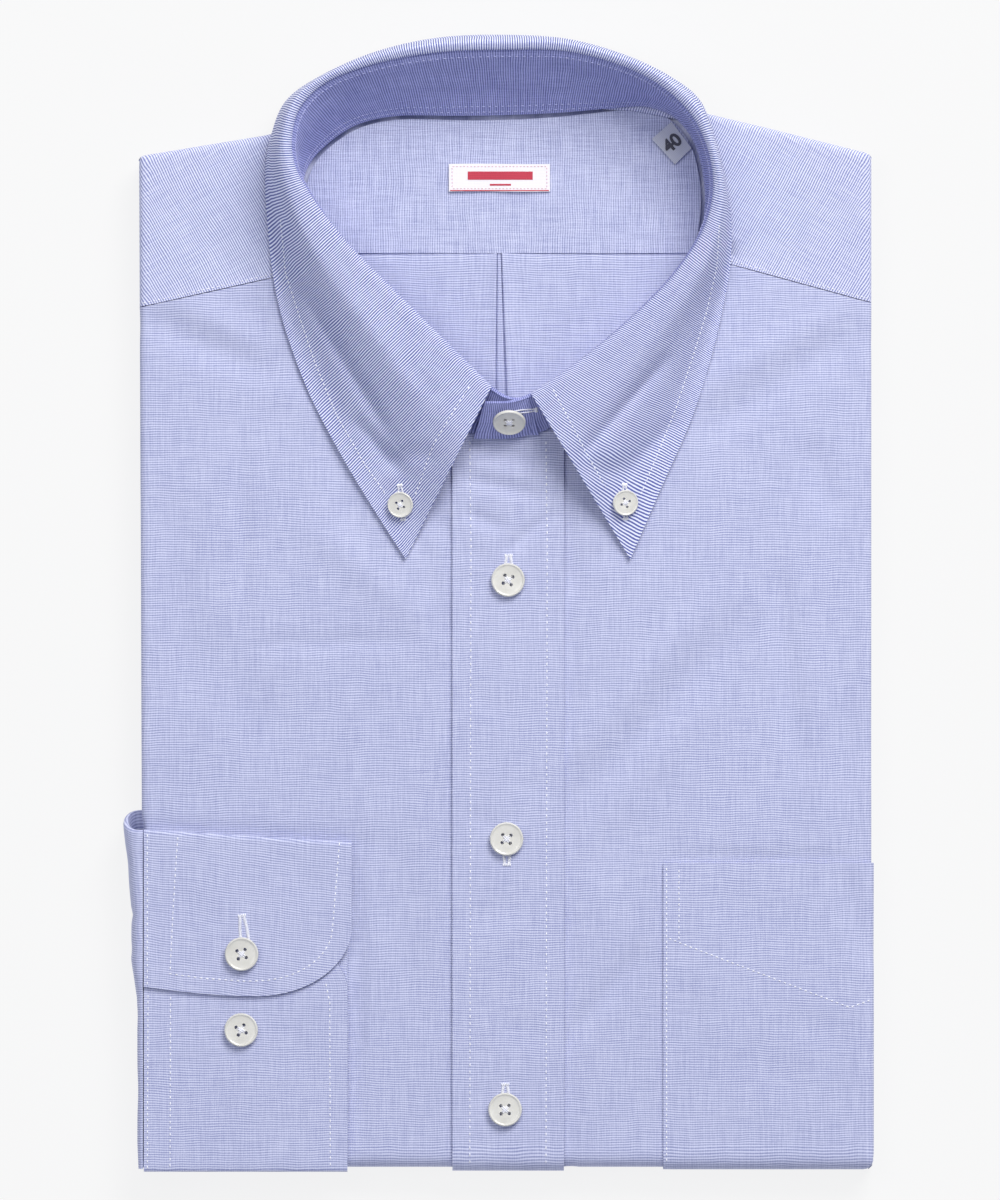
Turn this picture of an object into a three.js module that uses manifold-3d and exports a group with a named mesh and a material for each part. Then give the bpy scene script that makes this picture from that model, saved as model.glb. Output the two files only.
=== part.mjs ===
// A folded long sleeve dress shirt with a button-down collar, lying face up.
// Millimetres. +X is the wearer's left side, +Y runs towards the neck, +Z is up.
import * as THREE from "three";
import { mergeVertices } from "three/addons/utils/BufferGeometryUtils.js";
import Module from "manifold-3d";

// Cloth and stack sizes
const CLOTH = 1.0;
const GAP = 0.3;
const STACK_TOP = 13.9;
const STACK_CROWN = 1.4;
const CROWN_REACH_X = 125;
const CROWN_REACH_Y = 185;
const CROWN_CENTRE_Y = -10;
const SIDE_ROLL = 2.35;
const HEM_ROLL = 6.2;
const WRAP_ANGLE = THREE.MathUtils.degToRad(150);

// Heights of the layers over the folded stack, each the underside of its wall
const FACE = GAP;
const ON_FACE = FACE + CLOTH + GAP;
const CUFF_BACK = ON_FACE;
const CUFF_UNDER = CUFF_BACK + CLOTH + GAP;
const CUFF_OVER = CUFF_UNDER + CLOTH + GAP;
const ROLL_CLOTH = FACE + CLOTH;

// Outline of the folded body, as seen from above
const LEFT_EDGE = { hem: -121.1, shoulder: -122.5 };
const RIGHT_EDGE = 126.6;
const HEM_EDGE = -191.9;
const SHOULDER_Y = 152;
const SHOULDER_LINE = [
  { x: -122.5, y: 152 },
  { x: -77, y: 159.5 },
  { x: -62, y: 165 },
  { x: -45, y: 170.5 },
  { x: -20, y: 172 },
  { x: 20, y: 172.5 },
  { x: 45, y: 171.5 },
  { x: 69.7, y: 166.7 },
  { x: 92.8, y: 161.2 },
  { x: 126.6, y: 152.7 },
];

// Value of a table at a place, joined by straight lines between its rows
function along(table, place, key, at) {
  let row = 0;
  while (row < table.length - 2 && at > table[row + 1][place]) {
    row += 1;
  }
  const from = table[row];
  const to = table[row + 1];
  const share = (at - from[place]) / (to[place] - from[place]);
  return THREE.MathUtils.lerp(from[key], to[key], THREE.MathUtils.clamp(share, 0, 1));
}

// Fold lines: where the flat face ends and each roll begins
function leftFold(y) {
  const share = (y - HEM_EDGE) / (SHOULDER_Y - HEM_EDGE);
  return THREE.MathUtils.lerp(LEFT_EDGE.hem, LEFT_EDGE.shoulder, share) + SIDE_ROLL + ROLL_CLOTH;
}

const RIGHT_FOLD = RIGHT_EDGE - SIDE_ROLL - ROLL_CLOTH;
const HEM_FOLD = HEM_EDGE + HEM_ROLL + ROLL_CLOTH;

function shoulderFold(x) {
  return along(SHOULDER_LINE, "x", "y", x) - SIDE_ROLL - ROLL_CLOTH;
}

// The stack is a little thicker in its middle
function stackTop(x, y) {
  const acrossX = Math.max(0, 1 - (x / CROWN_REACH_X) ** 2);
  const alongY = Math.max(0, 1 - ((y - CROWN_CENTRE_Y) / CROWN_REACH_Y) ** 2);
  return STACK_TOP + STACK_CROWN * acrossX * alongY;
}

// Flat cloth laid on the stack and rolled round its folds, at a height over the stack
const HALF_LAYER = FACE + CLOTH / 2;

function drape(x, y, height) {
  const past = Math.max(x - RIGHT_FOLD, 0) - Math.max(leftFold(y) - x, 0);
  const beyond = Math.max(y - shoulderFold(x), 0) - Math.max(HEM_FOLD - y, 0);
  const foldX = x - past;
  const foldY = y - beyond;
  const turnX = past / (SIDE_ROLL + HALF_LAYER);
  const turnY = beyond / ((beyond < 0 ? HEM_ROLL : SIDE_ROLL) + HALF_LAYER);
  const turn = Math.max(Math.abs(turnX), Math.abs(turnY));
  const reach = Math.hypot(turnX, turnY) || 1;
  const toHem = beyond < 0 ? (turnY / reach) ** 2 : 0;
  const roll = THREE.MathUtils.lerp(SIDE_ROLL, HEM_ROLL, toHem);
  const out = (roll + height) * Math.sin(turn) / reach;
  const z = stackTop(foldX, foldY) - roll + (roll + height) * Math.cos(turn);
  return new THREE.Vector3(foldX + out * turnX, foldY + out * turnY, z);
}

// Flat cloth laid over the face without rolling round its folds
function laid(x, y, height) {
  return new THREE.Vector3(x, y, stackTop(x, y) + height);
}

// Overrun of flat cloth past a fold, for a share of the wrap
function sideWrap(share) {
  return share * WRAP_ANGLE * (SIDE_ROLL + HALF_LAYER);
}

function hemWrap(share) {
  return share * WRAP_ANGLE * (HEM_ROLL + HALF_LAYER);
}

// Even steps from 0 to 1
function steps(count) {
  return Array.from({ length: count + 1 }, (_, i) => i / count);
}

// One closed body from its points and faces, turned so that its faces point out
function closedBody(points, faces) {
  const positions = new Float32Array(points.flatMap((p) => [p.x, p.y, p.z]));
  let volume = 0;
  for (const [a, b, c] of faces) {
    volume += points[a].dot(new THREE.Vector3().crossVectors(points[b], points[c]));
  }
  const outward = volume > 0 ? faces : faces.map(([a, b, c]) => [a, c, b]);
  const geometry = new THREE.BufferGeometry();
  geometry.setAttribute("position", new THREE.BufferAttribute(positions, 3));
  geometry.setIndex(outward.flat());
  geometry.computeVertexNormals();
  return geometry;
}

// A wall of cloth between an upper and a lower sheet of points, with its four rims closed
function wallBetween(upper, lower) {
  const rows = upper.length;
  const columns = upper[0].length;
  const points = [...upper.flat(), ...lower.flat()];
  const under = rows * columns;
  const at = (i, j) => i * columns + j;
  const faces = [];
  const quad = (a, b, c, d) => faces.push([a, b, c], [a, c, d]);
  for (let i = 0; i < rows - 1; i += 1) {
    for (let j = 0; j < columns - 1; j += 1) {
      const [a, b, c, d] = [at(i, j), at(i + 1, j), at(i + 1, j + 1), at(i, j + 1)];
      quad(a, b, c, d);
      quad(under + d, under + c, under + b, under + a);
    }
  }
  const rim = [];
  for (let j = 0; j < columns - 1; j += 1) rim.push(at(0, j));
  for (let i = 0; i < rows - 1; i += 1) rim.push(at(i, columns - 1));
  for (let j = columns - 1; j > 0; j -= 1) rim.push(at(rows - 1, j));
  for (let i = rows - 1; i > 0; i -= 1) rim.push(at(i, 0));
  rim.forEach((a, k) => {
    const b = rim[(k + 1) % rim.length];
    quad(a, b, under + b, under + a);
  });
  return closedBody(points, faces);
}

// A wall of an even thickness on both sides of a middle sheet of points
function wallAround(middle, thickness) {
  const rows = middle.length;
  const columns = middle[0].length;
  const offset = (i, j, side) => {
    const alongI = new THREE.Vector3().subVectors(
      middle[Math.min(i + 1, rows - 1)][j], middle[Math.max(i - 1, 0)][j]);
    const alongJ = new THREE.Vector3().subVectors(
      middle[i][Math.min(j + 1, columns - 1)], middle[i][Math.max(j - 1, 0)]);
    const normal = alongI.cross(alongJ).normalize();
    return middle[i][j].clone().addScaledVector(normal, side * thickness / 2);
  };
  const sheet = (side) => middle.map((row, i) => row.map((_, j) => offset(i, j, side)));
  return wallBetween(sheet(1), sheet(-1));
}

// A wall on the stack: a grid of flat places, each { x, y, extra }, given to a laying function
function wallOnStack(grid, lay, height, thickness = CLOTH) {
  const upper = grid.map((row) => row.map((p) => lay(p.x, p.y, height + thickness + (p.extra ?? 0))));
  const lower = grid.map((row) => row.map((p) => lay(p.x, p.y, height)));
  return wallBetween(upper, lower);
}

// The pieces, each with its material
const shirt = new THREE.Group();
shirt.name = "folded_dress_shirt";

function clothFinish(colour) {
  return new THREE.MeshStandardMaterial({ color: colour, roughness: 0.85, metalness: 0 });
}

const CLOTH_FINISH = clothFinish(0xb9c0e4);
const COLLAR_FINISH = clothFinish(0xadb4dd);
const LINING_FINISH = clothFinish(0xb0b7df);
const LABEL_FINISH = clothFinish(0xf2f0f2);
const BUTTON_FINISH = new THREE.MeshStandardMaterial({ color: 0xeeece6, roughness: 0.3, metalness: 0 });

function piece(name, geometry, finish) {
  const mesh = new THREE.Mesh(geometry, finish);
  mesh.name = name;
  shirt.add(mesh);
  return mesh;
}

// Folded stack: rings round the fold lines, from the top face down to the flat underside.
// Each row gives how far a layer stands out of the fold line, and its height, at the
// sides and shoulders, and at the hem where one fold holds all the layers.
const LAYER_EDGE = [
  { sideOut: 0, sideZ: 13.9, hemOut: 0, hemZ: 13.9 },
  { sideOut: 1.4, sideZ: 13.1, hemOut: 4.0, hemZ: 12.0 },
  { sideOut: 2.0, sideZ: 11.55, hemOut: 5.8, hemZ: 7.7 },
  { sideOut: 1.2, sideZ: 9.95, hemOut: 3.8, hemZ: 3.5 },
  { sideOut: 0.5, sideZ: 9.5, hemOut: 2.6, hemZ: 2.5 },
  { sideOut: 0.2, sideZ: 7.9, hemOut: 1.4, hemZ: 1.75 },
  { sideOut: 1.6, sideZ: 7.55, hemOut: 0, hemZ: 1.5 },
  { sideOut: 3.1, sideZ: 6.5, hemOut: -0.6, hemZ: 1.4 },
  { sideOut: 3.2, sideZ: 5.0, hemOut: -1.0, hemZ: 1.2 },
  { sideOut: 2.2, sideZ: 3.95, hemOut: -1.4, hemZ: 1.0 },
  { sideOut: 3.0, sideZ: 3.2, hemOut: -1.8, hemZ: 0.75 },
  { sideOut: 3.15, sideZ: 1.7, hemOut: -2.2, hemZ: 0.5 },
  { sideOut: 2.3, sideZ: 0.4, hemOut: -2.6, hemZ: 0.2 },
  { sideOut: 1.2, sideZ: 0, hemOut: -3, hemZ: 0 },
];
const CAP_RINGS = [0.85, 0.65, 0.42, 0.2];
const CORNER_STEPS = 3;
const SIDE_STEPS = 5;
const HEM_STEPS = 8;

// Places round the stack, each with its fold point and the way that it faces
function stackOutline() {
  const outline = [];
  const corner = (x, y, from) => {
    steps(CORNER_STEPS).forEach((share) => {
      const angle = THREE.MathUtils.degToRad(from + 90 * share);
      outline.push({ x, y, outX: Math.cos(angle), outY: Math.sin(angle) });
    });
  };
  const inside = (count) => steps(count).slice(1, -1);
  const topLeft = { x: leftFold(SHOULDER_Y), y: shoulderFold(leftFold(SHOULDER_Y)) };
  const topRight = { x: RIGHT_FOLD, y: shoulderFold(RIGHT_FOLD) };
  corner(leftFold(HEM_FOLD), HEM_FOLD, 180);
  inside(HEM_STEPS).forEach((share) => {
    const x = THREE.MathUtils.lerp(leftFold(HEM_FOLD), RIGHT_FOLD, share);
    outline.push({ x, y: HEM_FOLD, outX: 0, outY: -1 });
  });
  corner(RIGHT_FOLD, HEM_FOLD, 270);
  inside(SIDE_STEPS).forEach((share) => {
    outline.push({ x: RIGHT_FOLD, y: THREE.MathUtils.lerp(HEM_FOLD, topRight.y, share), outX: 1, outY: 0 });
  });
  corner(topRight.x, topRight.y, 0);
  SHOULDER_LINE.slice(1, -1).reverse().forEach((row) => {
    outline.push({ x: row.x, y: shoulderFold(row.x), outX: 0, outY: 1 });
  });
  corner(topLeft.x, topLeft.y, 90);
  inside(SIDE_STEPS).forEach((share) => {
    const y = THREE.MathUtils.lerp(topLeft.y, HEM_FOLD, share);
    outline.push({ x: leftFold(y), y, outX: -1, outY: 0 });
  });
  return outline;
}

function foldedStack() {
  const outline = stackOutline();
  const points = [];
  const faces = [];
  const ring = (make) => {
    const start = points.length;
    outline.forEach((place) => points.push(make(place)));
    return start;
  };
  const rings = [];
  for (const share of [...CAP_RINGS].reverse()) {
    rings.push(ring(({ x, y }) => new THREE.Vector3(x * share, y * share, stackTop(x * share, y * share))));
  }
  for (const edge of LAYER_EDGE) {
    rings.push(ring(({ x, y, outX, outY }) => {
      const toHem = outY < 0 ? outY ** 2 : 0;
      const out = THREE.MathUtils.lerp(edge.sideOut, edge.hemOut, toHem);
      const z = THREE.MathUtils.lerp(edge.sideZ, edge.hemZ, toHem);
      return new THREE.Vector3(x + out * outX, y + out * outY, z);
    }));
  }
  const count = outline.length;
  const top = points.push(new THREE.Vector3(0, 0, stackTop(0, 0))) - 1;
  const bottom = points.push(new THREE.Vector3(0, 0, 0)) - 1;
  for (let k = 0; k < count; k += 1) {
    const next = (k + 1) % count;
    faces.push([top, rings[0] + k, rings[0] + next]);
    faces.push([bottom, rings.at(-1) + next, rings.at(-1) + k]);
    for (let r = 0; r < rings.length - 1; r += 1) {
      const [a, b] = [rings[r] + k, rings[r] + next];
      const [c, d] = [rings[r + 1] + next, rings[r + 1] + k];
      faces.push([a, d, c], [a, c, b]);
    }
  }
  return closedBody(points, faces);
}

piece("folded_core", foldedStack(), LINING_FINISH);

// Collar stations, from the wearer's right front end round the back to the left front end.
// base is the neck seam, roll the inner edge of the crest, edge the outer edge of the leaf.
// crest and drop are heights, lie is 1 where the leaf lies on the shirt and 0 where it hangs.
const COLLAR = [
  { baseX: -9.5, baseY: 58, rollX: -2.6, rollY: 73.5, edgeX: -31.8, edgeY: 15, crest: 31, edgeZ: null, lie: 1 },
  { baseX: -24, baseY: 68, rollX: -12, rollY: 82.8, edgeX: -41.5, edgeY: 30, crest: 32, edgeZ: null, lie: 1 },
  { baseX: -37.5, baseY: 79.5, rollX: -24, rollY: 94.6, edgeX: -53, edgeY: 49, crest: 33, edgeZ: null, lie: 1 },
  { baseX: -49, baseY: 92, rollX: -36, rollY: 106.5, edgeX: -64.5, edgeY: 71, crest: 34, edgeZ: null, lie: 1 },
  { baseX: -58.5, baseY: 106, rollX: -48.3, rollY: 118.7, edgeX: -73, edgeY: 94, crest: 35.5, edgeZ: null, lie: 1 },
  { baseX: -65.5, baseY: 120.5, rollX: -57.5, rollY: 129.5, edgeX: -77, edgeY: 112, crest: 37, edgeZ: null, lie: 0.9 },
  { baseX: -68.6, baseY: 133, rollX: -64, rollY: 138.5, edgeX: -78.6, edgeY: 130, crest: 38.5, edgeZ: null, lie: 0.7 },
  { baseX: -67, baseY: 144, rollX: -69, rollY: 147.5, edgeX: -79.2, edgeY: 147, crest: 39.5, edgeZ: null, lie: 0.4 },
  { baseX: -63.5, baseY: 151.5, rollX: -70.3, rollY: 157.5, edgeX: -77.4, edgeY: 158, crest: 40.3, edgeZ: 16.6, lie: 0.2 },
  { baseX: -56, baseY: 158.5, rollX: -67.5, rollY: 167.5, edgeX: -73, edgeY: 168.8, crest: 40.8, edgeZ: 9, lie: 0 },
  { baseX: -47, baseY: 163.5, rollX: -57.5, rollY: 177, edgeX: -60.5, edgeY: 179, crest: 41, edgeZ: 4, lie: 0 },
  { baseX: -34, baseY: 166, rollX: -40, rollY: 183.2, edgeX: -42, edgeY: 187.2, crest: 41, edgeZ: 2, lie: 0 },
  { baseX: -16, baseY: 166, rollX: -20, rollY: 186.6, edgeX: -21, edgeY: 192, crest: 41, edgeZ: 1.6, lie: 0 },
  { baseX: 1, baseY: 166.2, rollX: 1, rollY: 187.4, edgeX: 1, edgeY: 193, crest: 41, edgeZ: 1.6, lie: 0 },
  { baseX: 20, baseY: 167, rollX: 22, rollY: 187, edgeX: 23, edgeY: 191.6, crest: 41, edgeZ: 1.6, lie: 0 },
  { baseX: 36, baseY: 168.4, rollX: 40, rollY: 182.6, edgeX: 42.5, edgeY: 186.2, crest: 41, edgeZ: 2, lie: 0 },
  { baseX: 50, baseY: 169.2, rollX: 54, rollY: 175.8, edgeX: 58, edgeY: 178.8, crest: 41, edgeZ: 5, lie: 0 },
  { baseX: 60, baseY: 165.2, rollX: 64.5, rollY: 166.2, edgeX: 68.2, edgeY: 170.2, crest: 40.6, edgeZ: 15.5, lie: 0 },
  { baseX: 66.6, baseY: 156.8, rollX: 70, rollY: 156, edgeX: 73.4, edgeY: 156, crest: 40, edgeZ: null, lie: 0.2 },
  { baseX: 69.7, baseY: 146, rollX: 72.5, rollY: 144.8, edgeX: 76.4, edgeY: 143.8, crest: 39.2, edgeZ: null, lie: 0.4 },
  { baseX: 70.4, baseY: 135, rollX: 71.6, rollY: 133.8, edgeX: 78.4, edgeY: 131, crest: 38.2, edgeZ: null, lie: 0.7 },
  { baseX: 68.6, baseY: 122.5, rollX: 67.3, rollY: 122.8, edgeX: 78.4, edgeY: 114, crest: 36.8, edgeZ: null, lie: 0.9 },
  { baseX: 63, baseY: 108.5, rollX: 59, rollY: 111, edgeX: 75.4, edgeY: 97, crest: 35.4, edgeZ: null, lie: 1 },
  { baseX: 53, baseY: 93.5, rollX: 47.2, rollY: 98.9, edgeX: 70.8, edgeY: 79, crest: 34, edgeZ: null, lie: 1 },
  { baseX: 41, baseY: 80, rollX: 34, rollY: 87.4, edgeX: 64.6, edgeY: 60.5, crest: 33, edgeZ: null, lie: 1 },
  { baseX: 28, baseY: 67.5, rollX: 22, rollY: 78.5, edgeX: 55.5, edgeY: 40, crest: 32, edgeZ: null, lie: 1 },
  { baseX: 15, baseY: 58.8, rollX: 10.8, rollY: 71.1, edgeX: 44.6, edgeY: 14.8, crest: 31, edgeZ: null, lie: 1 },
];
const LEAF_CLOTH = 1.2;
const STAND_CLOTH = 1.4;
const LEAF_OVER_FACE = 0.35;
const STAND_BELOW_CREST = 3.6;
const LEAF_ABOVE_STAND = 0.95;
const CREST_HALF = 2.2;
const COLLAR_STEPS = 44;
const BASE_STEPS = 26;

// Smooth value of a collar column at a share of the way round
function collarColumn(key) {
  const values = COLLAR.map((row, i) => new THREE.Vector3(i, row[key], 0));
  return (share) => {
    const at = share * (values.length - 1);
    const i = Math.min(Math.floor(at), values.length - 2);
    const before = values[Math.max(i - 1, 0)].y;
    const after = values[Math.min(i + 2, values.length - 1)].y;
    const t = at - i;
    const [from, to] = [values[i].y, values[i + 1].y];
    const slopeFrom = (to - before) / 2;
    const slopeTo = (after - from) / 2;
    return (2 * t ** 3 - 3 * t ** 2 + 1) * from + (t ** 3 - 2 * t ** 2 + t) * slopeFrom
      + (3 * t ** 2 - 2 * t ** 3) * to + (t ** 3 - t ** 2) * slopeTo;
  };
}

COLLAR.forEach((row) => {
  row.edgeZ ??= stackTop(row.edgeX, row.edgeY) + ON_FACE + LEAF_CLOTH / 2 + LEAF_OVER_FACE;
});
const collarAt = Object.fromEntries(Object.keys(COLLAR[0]).map((key) => [key, collarColumn(key)]));

// Neck seam, and the front and back halves of it that bound the panels
function neckSeam(share) {
  return { x: collarAt.baseX(share), y: collarAt.baseY(share) };
}

const NECK_CENTRE = new THREE.Vector2(1, 122);

// A place on the neck seam, moved towards the middle of the neck
function insideSeam(share, clear) {
  const seam = neckSeam(share);
  const place = new THREE.Vector2(seam.x, seam.y);
  const inward = NECK_CENTRE.clone().sub(place).normalize();
  return place.addScaledVector(inward, clear);
}

// Front seams of the outer yoke
const YOKE_SEAM = [
  { x: -128, y: 99.1 },
  { x: -77.4, y: 110.4 },
  { x: -60, y: 114.3 },
];
const YOKE_SEAM_RIGHT = [
  { x: 60, y: 120.1 },
  { x: 78.8, y: 115 },
  { x: 134, y: 99.9 },
];
function seamHeight(seam, x) {
  return along(seam, "x", "y", x);
}

// Share of the way round at which the neck seam meets a yoke seam
function meetingShare(seam, below, above) {
  let [low, high] = [below, above];
  for (let i = 0; i < 30; i += 1) {
    const middle = (low + high) / 2;
    const place = neckSeam(middle);
    if (place.y < seamHeight(seam, place.x)) low = middle;
    else high = middle;
  }
  return (low + high) / 2;
}

const LEFT_MEETING = meetingShare(YOKE_SEAM, 0.08, 0.25);
const RIGHT_MEETING = meetingShare(YOKE_SEAM_RIGHT, 0.92, 0.75);
const frontSeamLeft = steps(8).map((s) => neckSeam((1 - s) * LEFT_MEETING));
const frontSeamRight = steps(8).map((s) => neckSeam(1 - (1 - s) * (1 - RIGHT_MEETING)));
const UNDER_STAND = 0.9;

// Collar stand: a band from the neck seam to just under the crest, its front ends overlapped
const STAND_RISE = [0, 0.35, 0.7, 1];
const STAND_BULGE = 0.8;
const PLACKET_TOP = ON_FACE + CLOTH;
const SEAM_CLEAR = PLACKET_TOP + GAP + 0.1;

function standPoint(share, rise) {
  const base = neckSeam(share);
  const foot = new THREE.Vector3(base.x, base.y, stackTop(base.x, base.y) + SEAM_CLEAR);
  const head = new THREE.Vector3(
    collarAt.rollX(share), collarAt.rollY(share), collarAt.crest(share) - STAND_BELOW_CREST);
  const toCrest = new THREE.Vector3(
    collarAt.edgeX(share) - head.x, collarAt.edgeY(share) - head.y, 0).normalize();
  head.addScaledVector(toCrest, STAND_CLOTH / 2 + 0.1);
  const point = foot.lerp(head, rise);
  point.addScaledVector(toCrest, STAND_BULGE * Math.sin(Math.PI * rise));
  return point;
}

// The two front ends cross over the placket: the wearer's right end lies under the left one
const FRONT_END = { footY: 57.4, headY: 69.4, headZ: 28.4, footLift: 0.6, taper: 3.5, settle: 1.6 };
const UNDER_END_X = 13.5;
const OVER_END_X = -8.6;
const STAND_STEP = STAND_CLOTH + GAP + 0.1;
const END_STEPS = 4;

function standEnd(fromShare, toX, lift) {
  const { footY, headY, headZ, footLift, taper, settle } = FRONT_END;
  const from = STAND_RISE.map((rise) => standPoint(fromShare, rise));
  return steps(END_STEPS).slice(1).map((share) => STAND_RISE.map((rise, k) => {
    const blend = Math.sin(Math.min(1, share * settle) * Math.PI / 2);
    const x = THREE.MathUtils.lerp(from[k].x, toX - Math.sign(toX) * rise * taper, share);
    const y = THREE.MathUtils.lerp(from[k].y, THREE.MathUtils.lerp(footY, headY, rise), blend);
    const footZ = stackTop(x, y) + SEAM_CLEAR + footLift;
    const z = THREE.MathUtils.lerp(from[k].z, THREE.MathUtils.lerp(footZ, headZ, rise), blend);
    const out = lift * blend * Math.SQRT1_2;
    return new THREE.Vector3(x, y - out, z + out);
  }));
}

function collarStand() {
  const round = steps(COLLAR_STEPS).map((share) => STAND_RISE.map((rise) => standPoint(share, rise)));
  const underEnd = standEnd(0, UNDER_END_X, 0).reverse();
  const overEnd = standEnd(1, OVER_END_X, STAND_STEP);
  return wallAround([...underEnd, ...round, ...overEnd], STAND_CLOTH);
}

piece("collar_stand", collarStand(), COLLAR_FINISH);

// Collar leaf: from the top of the stand over the crest and down to its edge
const LEAF_FALL = [0.12, 0.28, 0.46, 0.64, 0.82, 1];

function leafPoints(share) {
  const roll = new THREE.Vector3(collarAt.rollX(share), collarAt.rollY(share), collarAt.crest(share));
  const edge = new THREE.Vector3(collarAt.edgeX(share), collarAt.edgeY(share), collarAt.edgeZ(share));
  const outward = new THREE.Vector3(edge.x - roll.x, edge.y - roll.y, 0).normalize();
  const foot = standPoint(share, 1);
  foot.z += LEAF_ABOVE_STAND;
  const neck = roll.clone().addScaledVector(outward, 0.75);
  neck.z -= 1.1;
  const crest = roll.clone().addScaledVector(outward, Math.min(CREST_HALF, 0.45 * roll.distanceTo(
    new THREE.Vector3(edge.x, edge.y, roll.z))));
  const lie = collarAt.lie(share);
  const fall = LEAF_FALL.map((t) => {
    const planned = THREE.MathUtils.lerp(Math.sin(t * Math.PI / 2), t, lie);
    const hanging = Math.cos(t * Math.PI / 2);
    const lying = 0.5 + 0.5 * Math.cos(Math.PI * t ** 0.9);
    const point = crest.clone().lerp(edge, planned);
    point.z = THREE.MathUtils.lerp(edge.z, crest.z, THREE.MathUtils.lerp(hanging, lying, lie));
    return point;
  });
  return [foot, neck, crest, ...fall];
}

piece("collar_leaf", wallAround(steps(COLLAR_STEPS).map(leafPoints), LEAF_CLOTH), COLLAR_FINISH);

// Seam of the inner yoke, and the line where the fronts meet under the placket
const INNER_SEAM_Y = 118.7;
const PANEL_MEET_X = 3;

// Fronts: columns of flat places from the hem wrap up to the yoke seam or the neck seam
const HEM_ROWS = steps(6).map((share) => HEM_FOLD - hemWrap(1 - share));
const FACE_ROWS = [0.14, 0.3, 0.48, 0.66, 0.84, 1];
const WRAP_COLUMNS = steps(6);

function frontColumn(x, top) {
  const face = FACE_ROWS.map((share) => THREE.MathUtils.lerp(HEM_FOLD, top, share));
  return [...HEM_ROWS, ...face].map((y) => ({ x, y }));
}

function frontPanel(side) {
  const left = side < 0;
  const fold = left ? leftFold(0) : RIGHT_FOLD;
  const seam = left ? YOKE_SEAM : YOKE_SEAM_RIGHT;
  const neck = left ? frontSeamLeft : frontSeamRight;
  const outer = WRAP_COLUMNS.map((share) => fold + side * sideWrap(1 - share));
  const corner = neck[0].x;
  const face = [0.35, 0.7].map((share) => THREE.MathUtils.lerp(fold, corner, share));
  const inner = neck.slice(1).map((p) => p.x);
  const columns = [...outer, ...face].map((x) => frontColumn(x, seamHeight(seam, x)));
  columns.push(frontColumn(corner, seamHeight(seam, corner)));
  const neckLine = [...neck].sort((a, b) => a.x - b.x);
  inner.forEach((x) => columns.push(frontColumn(x, seamHeight(neckLine, x) + UNDER_STAND)));
  const last = PANEL_MEET_X + side * GAP / 2;
  columns.push(frontColumn(last, neck.at(-1).y + UNDER_STAND));
  return wallOnStack(columns, drape, FACE);
}

piece("front_left", frontPanel(-1), CLOTH_FINISH);
piece("front_right", frontPanel(1), CLOTH_FINISH);

// Placket, over the meeting line of the fronts
const PLACKET = { left: -15.9, right: 22.0, top: 58.2 };

function placket() {
  const columns = steps(4).map((share) => {
    const x = THREE.MathUtils.lerp(PLACKET.left, PLACKET.right, share);
    return frontColumn(x, PLACKET.top);
  });
  return wallOnStack(columns, drape, ON_FACE);
}

piece("placket", placket(), CLOTH_FINISH);

// Outer yoke: columns from its lower edge to the shoulder fold, and round it
const YOKE_ROWS = [0, 0.3, 0.65, 1];
const YOKE_WRAP = steps(5).slice(1);

function yokeColumn(low, highX) {
  const fold = shoulderFold(highX);
  const face = YOKE_ROWS.map((share) => ({
    x: THREE.MathUtils.lerp(low.x, highX, share),
    y: THREE.MathUtils.lerp(low.y, fold, share),
  }));
  const wrap = YOKE_WRAP.map((share) => ({ x: highX, y: fold + sideWrap(share) }));
  return [...face, ...wrap];
}

// Where a column that starts on the neck seam reaches the shoulder fold
const BACK_OF_NECK = { from: 9 / (COLLAR.length - 1), to: 17 / (COLLAR.length - 1) };
const YOKE_TOP_X = { left: -75.5, right: 79 };

function shoulderX(share, low) {
  const { from, to } = BACK_OF_NECK;
  if (share < from) {
    const t = (share - LEFT_MEETING) / (from - LEFT_MEETING);
    return THREE.MathUtils.lerp(YOKE_TOP_X.left, neckSeam(from).x, t);
  }
  if (share > to) {
    const t = (RIGHT_MEETING - share) / (RIGHT_MEETING - to);
    return THREE.MathUtils.lerp(YOKE_TOP_X.right, neckSeam(to).x, t);
  }
  return low.x;
}

function outerYoke() {
  const backShares = steps(26).map((s) => THREE.MathUtils.lerp(LEFT_MEETING, RIGHT_MEETING, s));
  const columns = [];
  WRAP_COLUMNS.forEach((share) => {
    const x = leftFold(SHOULDER_Y) - sideWrap(1 - share);
    columns.push(yokeColumn({ x, y: seamHeight(YOKE_SEAM, x) + GAP }, x));
  });
  [-105, -92, -80].forEach((x) => {
    columns.push(yokeColumn({ x, y: seamHeight(YOKE_SEAM, x) + GAP }, x));
  });
  backShares.forEach((share, k) => {
    const low = insideSeam(share, 0);
    const highX = shoulderX(share, low);
    if (k === 0) low.y = seamHeight(YOKE_SEAM, low.x) + GAP;
    if (k === backShares.length - 1) low.y = seamHeight(YOKE_SEAM_RIGHT, low.x) + GAP;
    columns.push(yokeColumn(low, highX));
  });
  [84, 96, 110].forEach((x) => {
    columns.push(yokeColumn({ x, y: seamHeight(YOKE_SEAM_RIGHT, x) + GAP }, x));
  });
  [...WRAP_COLUMNS].reverse().forEach((share) => {
    const x = RIGHT_FOLD + sideWrap(1 - share);
    columns.push(yokeColumn({ x, y: seamHeight(YOKE_SEAM_RIGHT, x) + GAP }, x));
  });
  return wallOnStack(columns, drape, FACE);
}

piece("yoke_outer", outerYoke(), CLOTH_FINISH);

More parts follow.
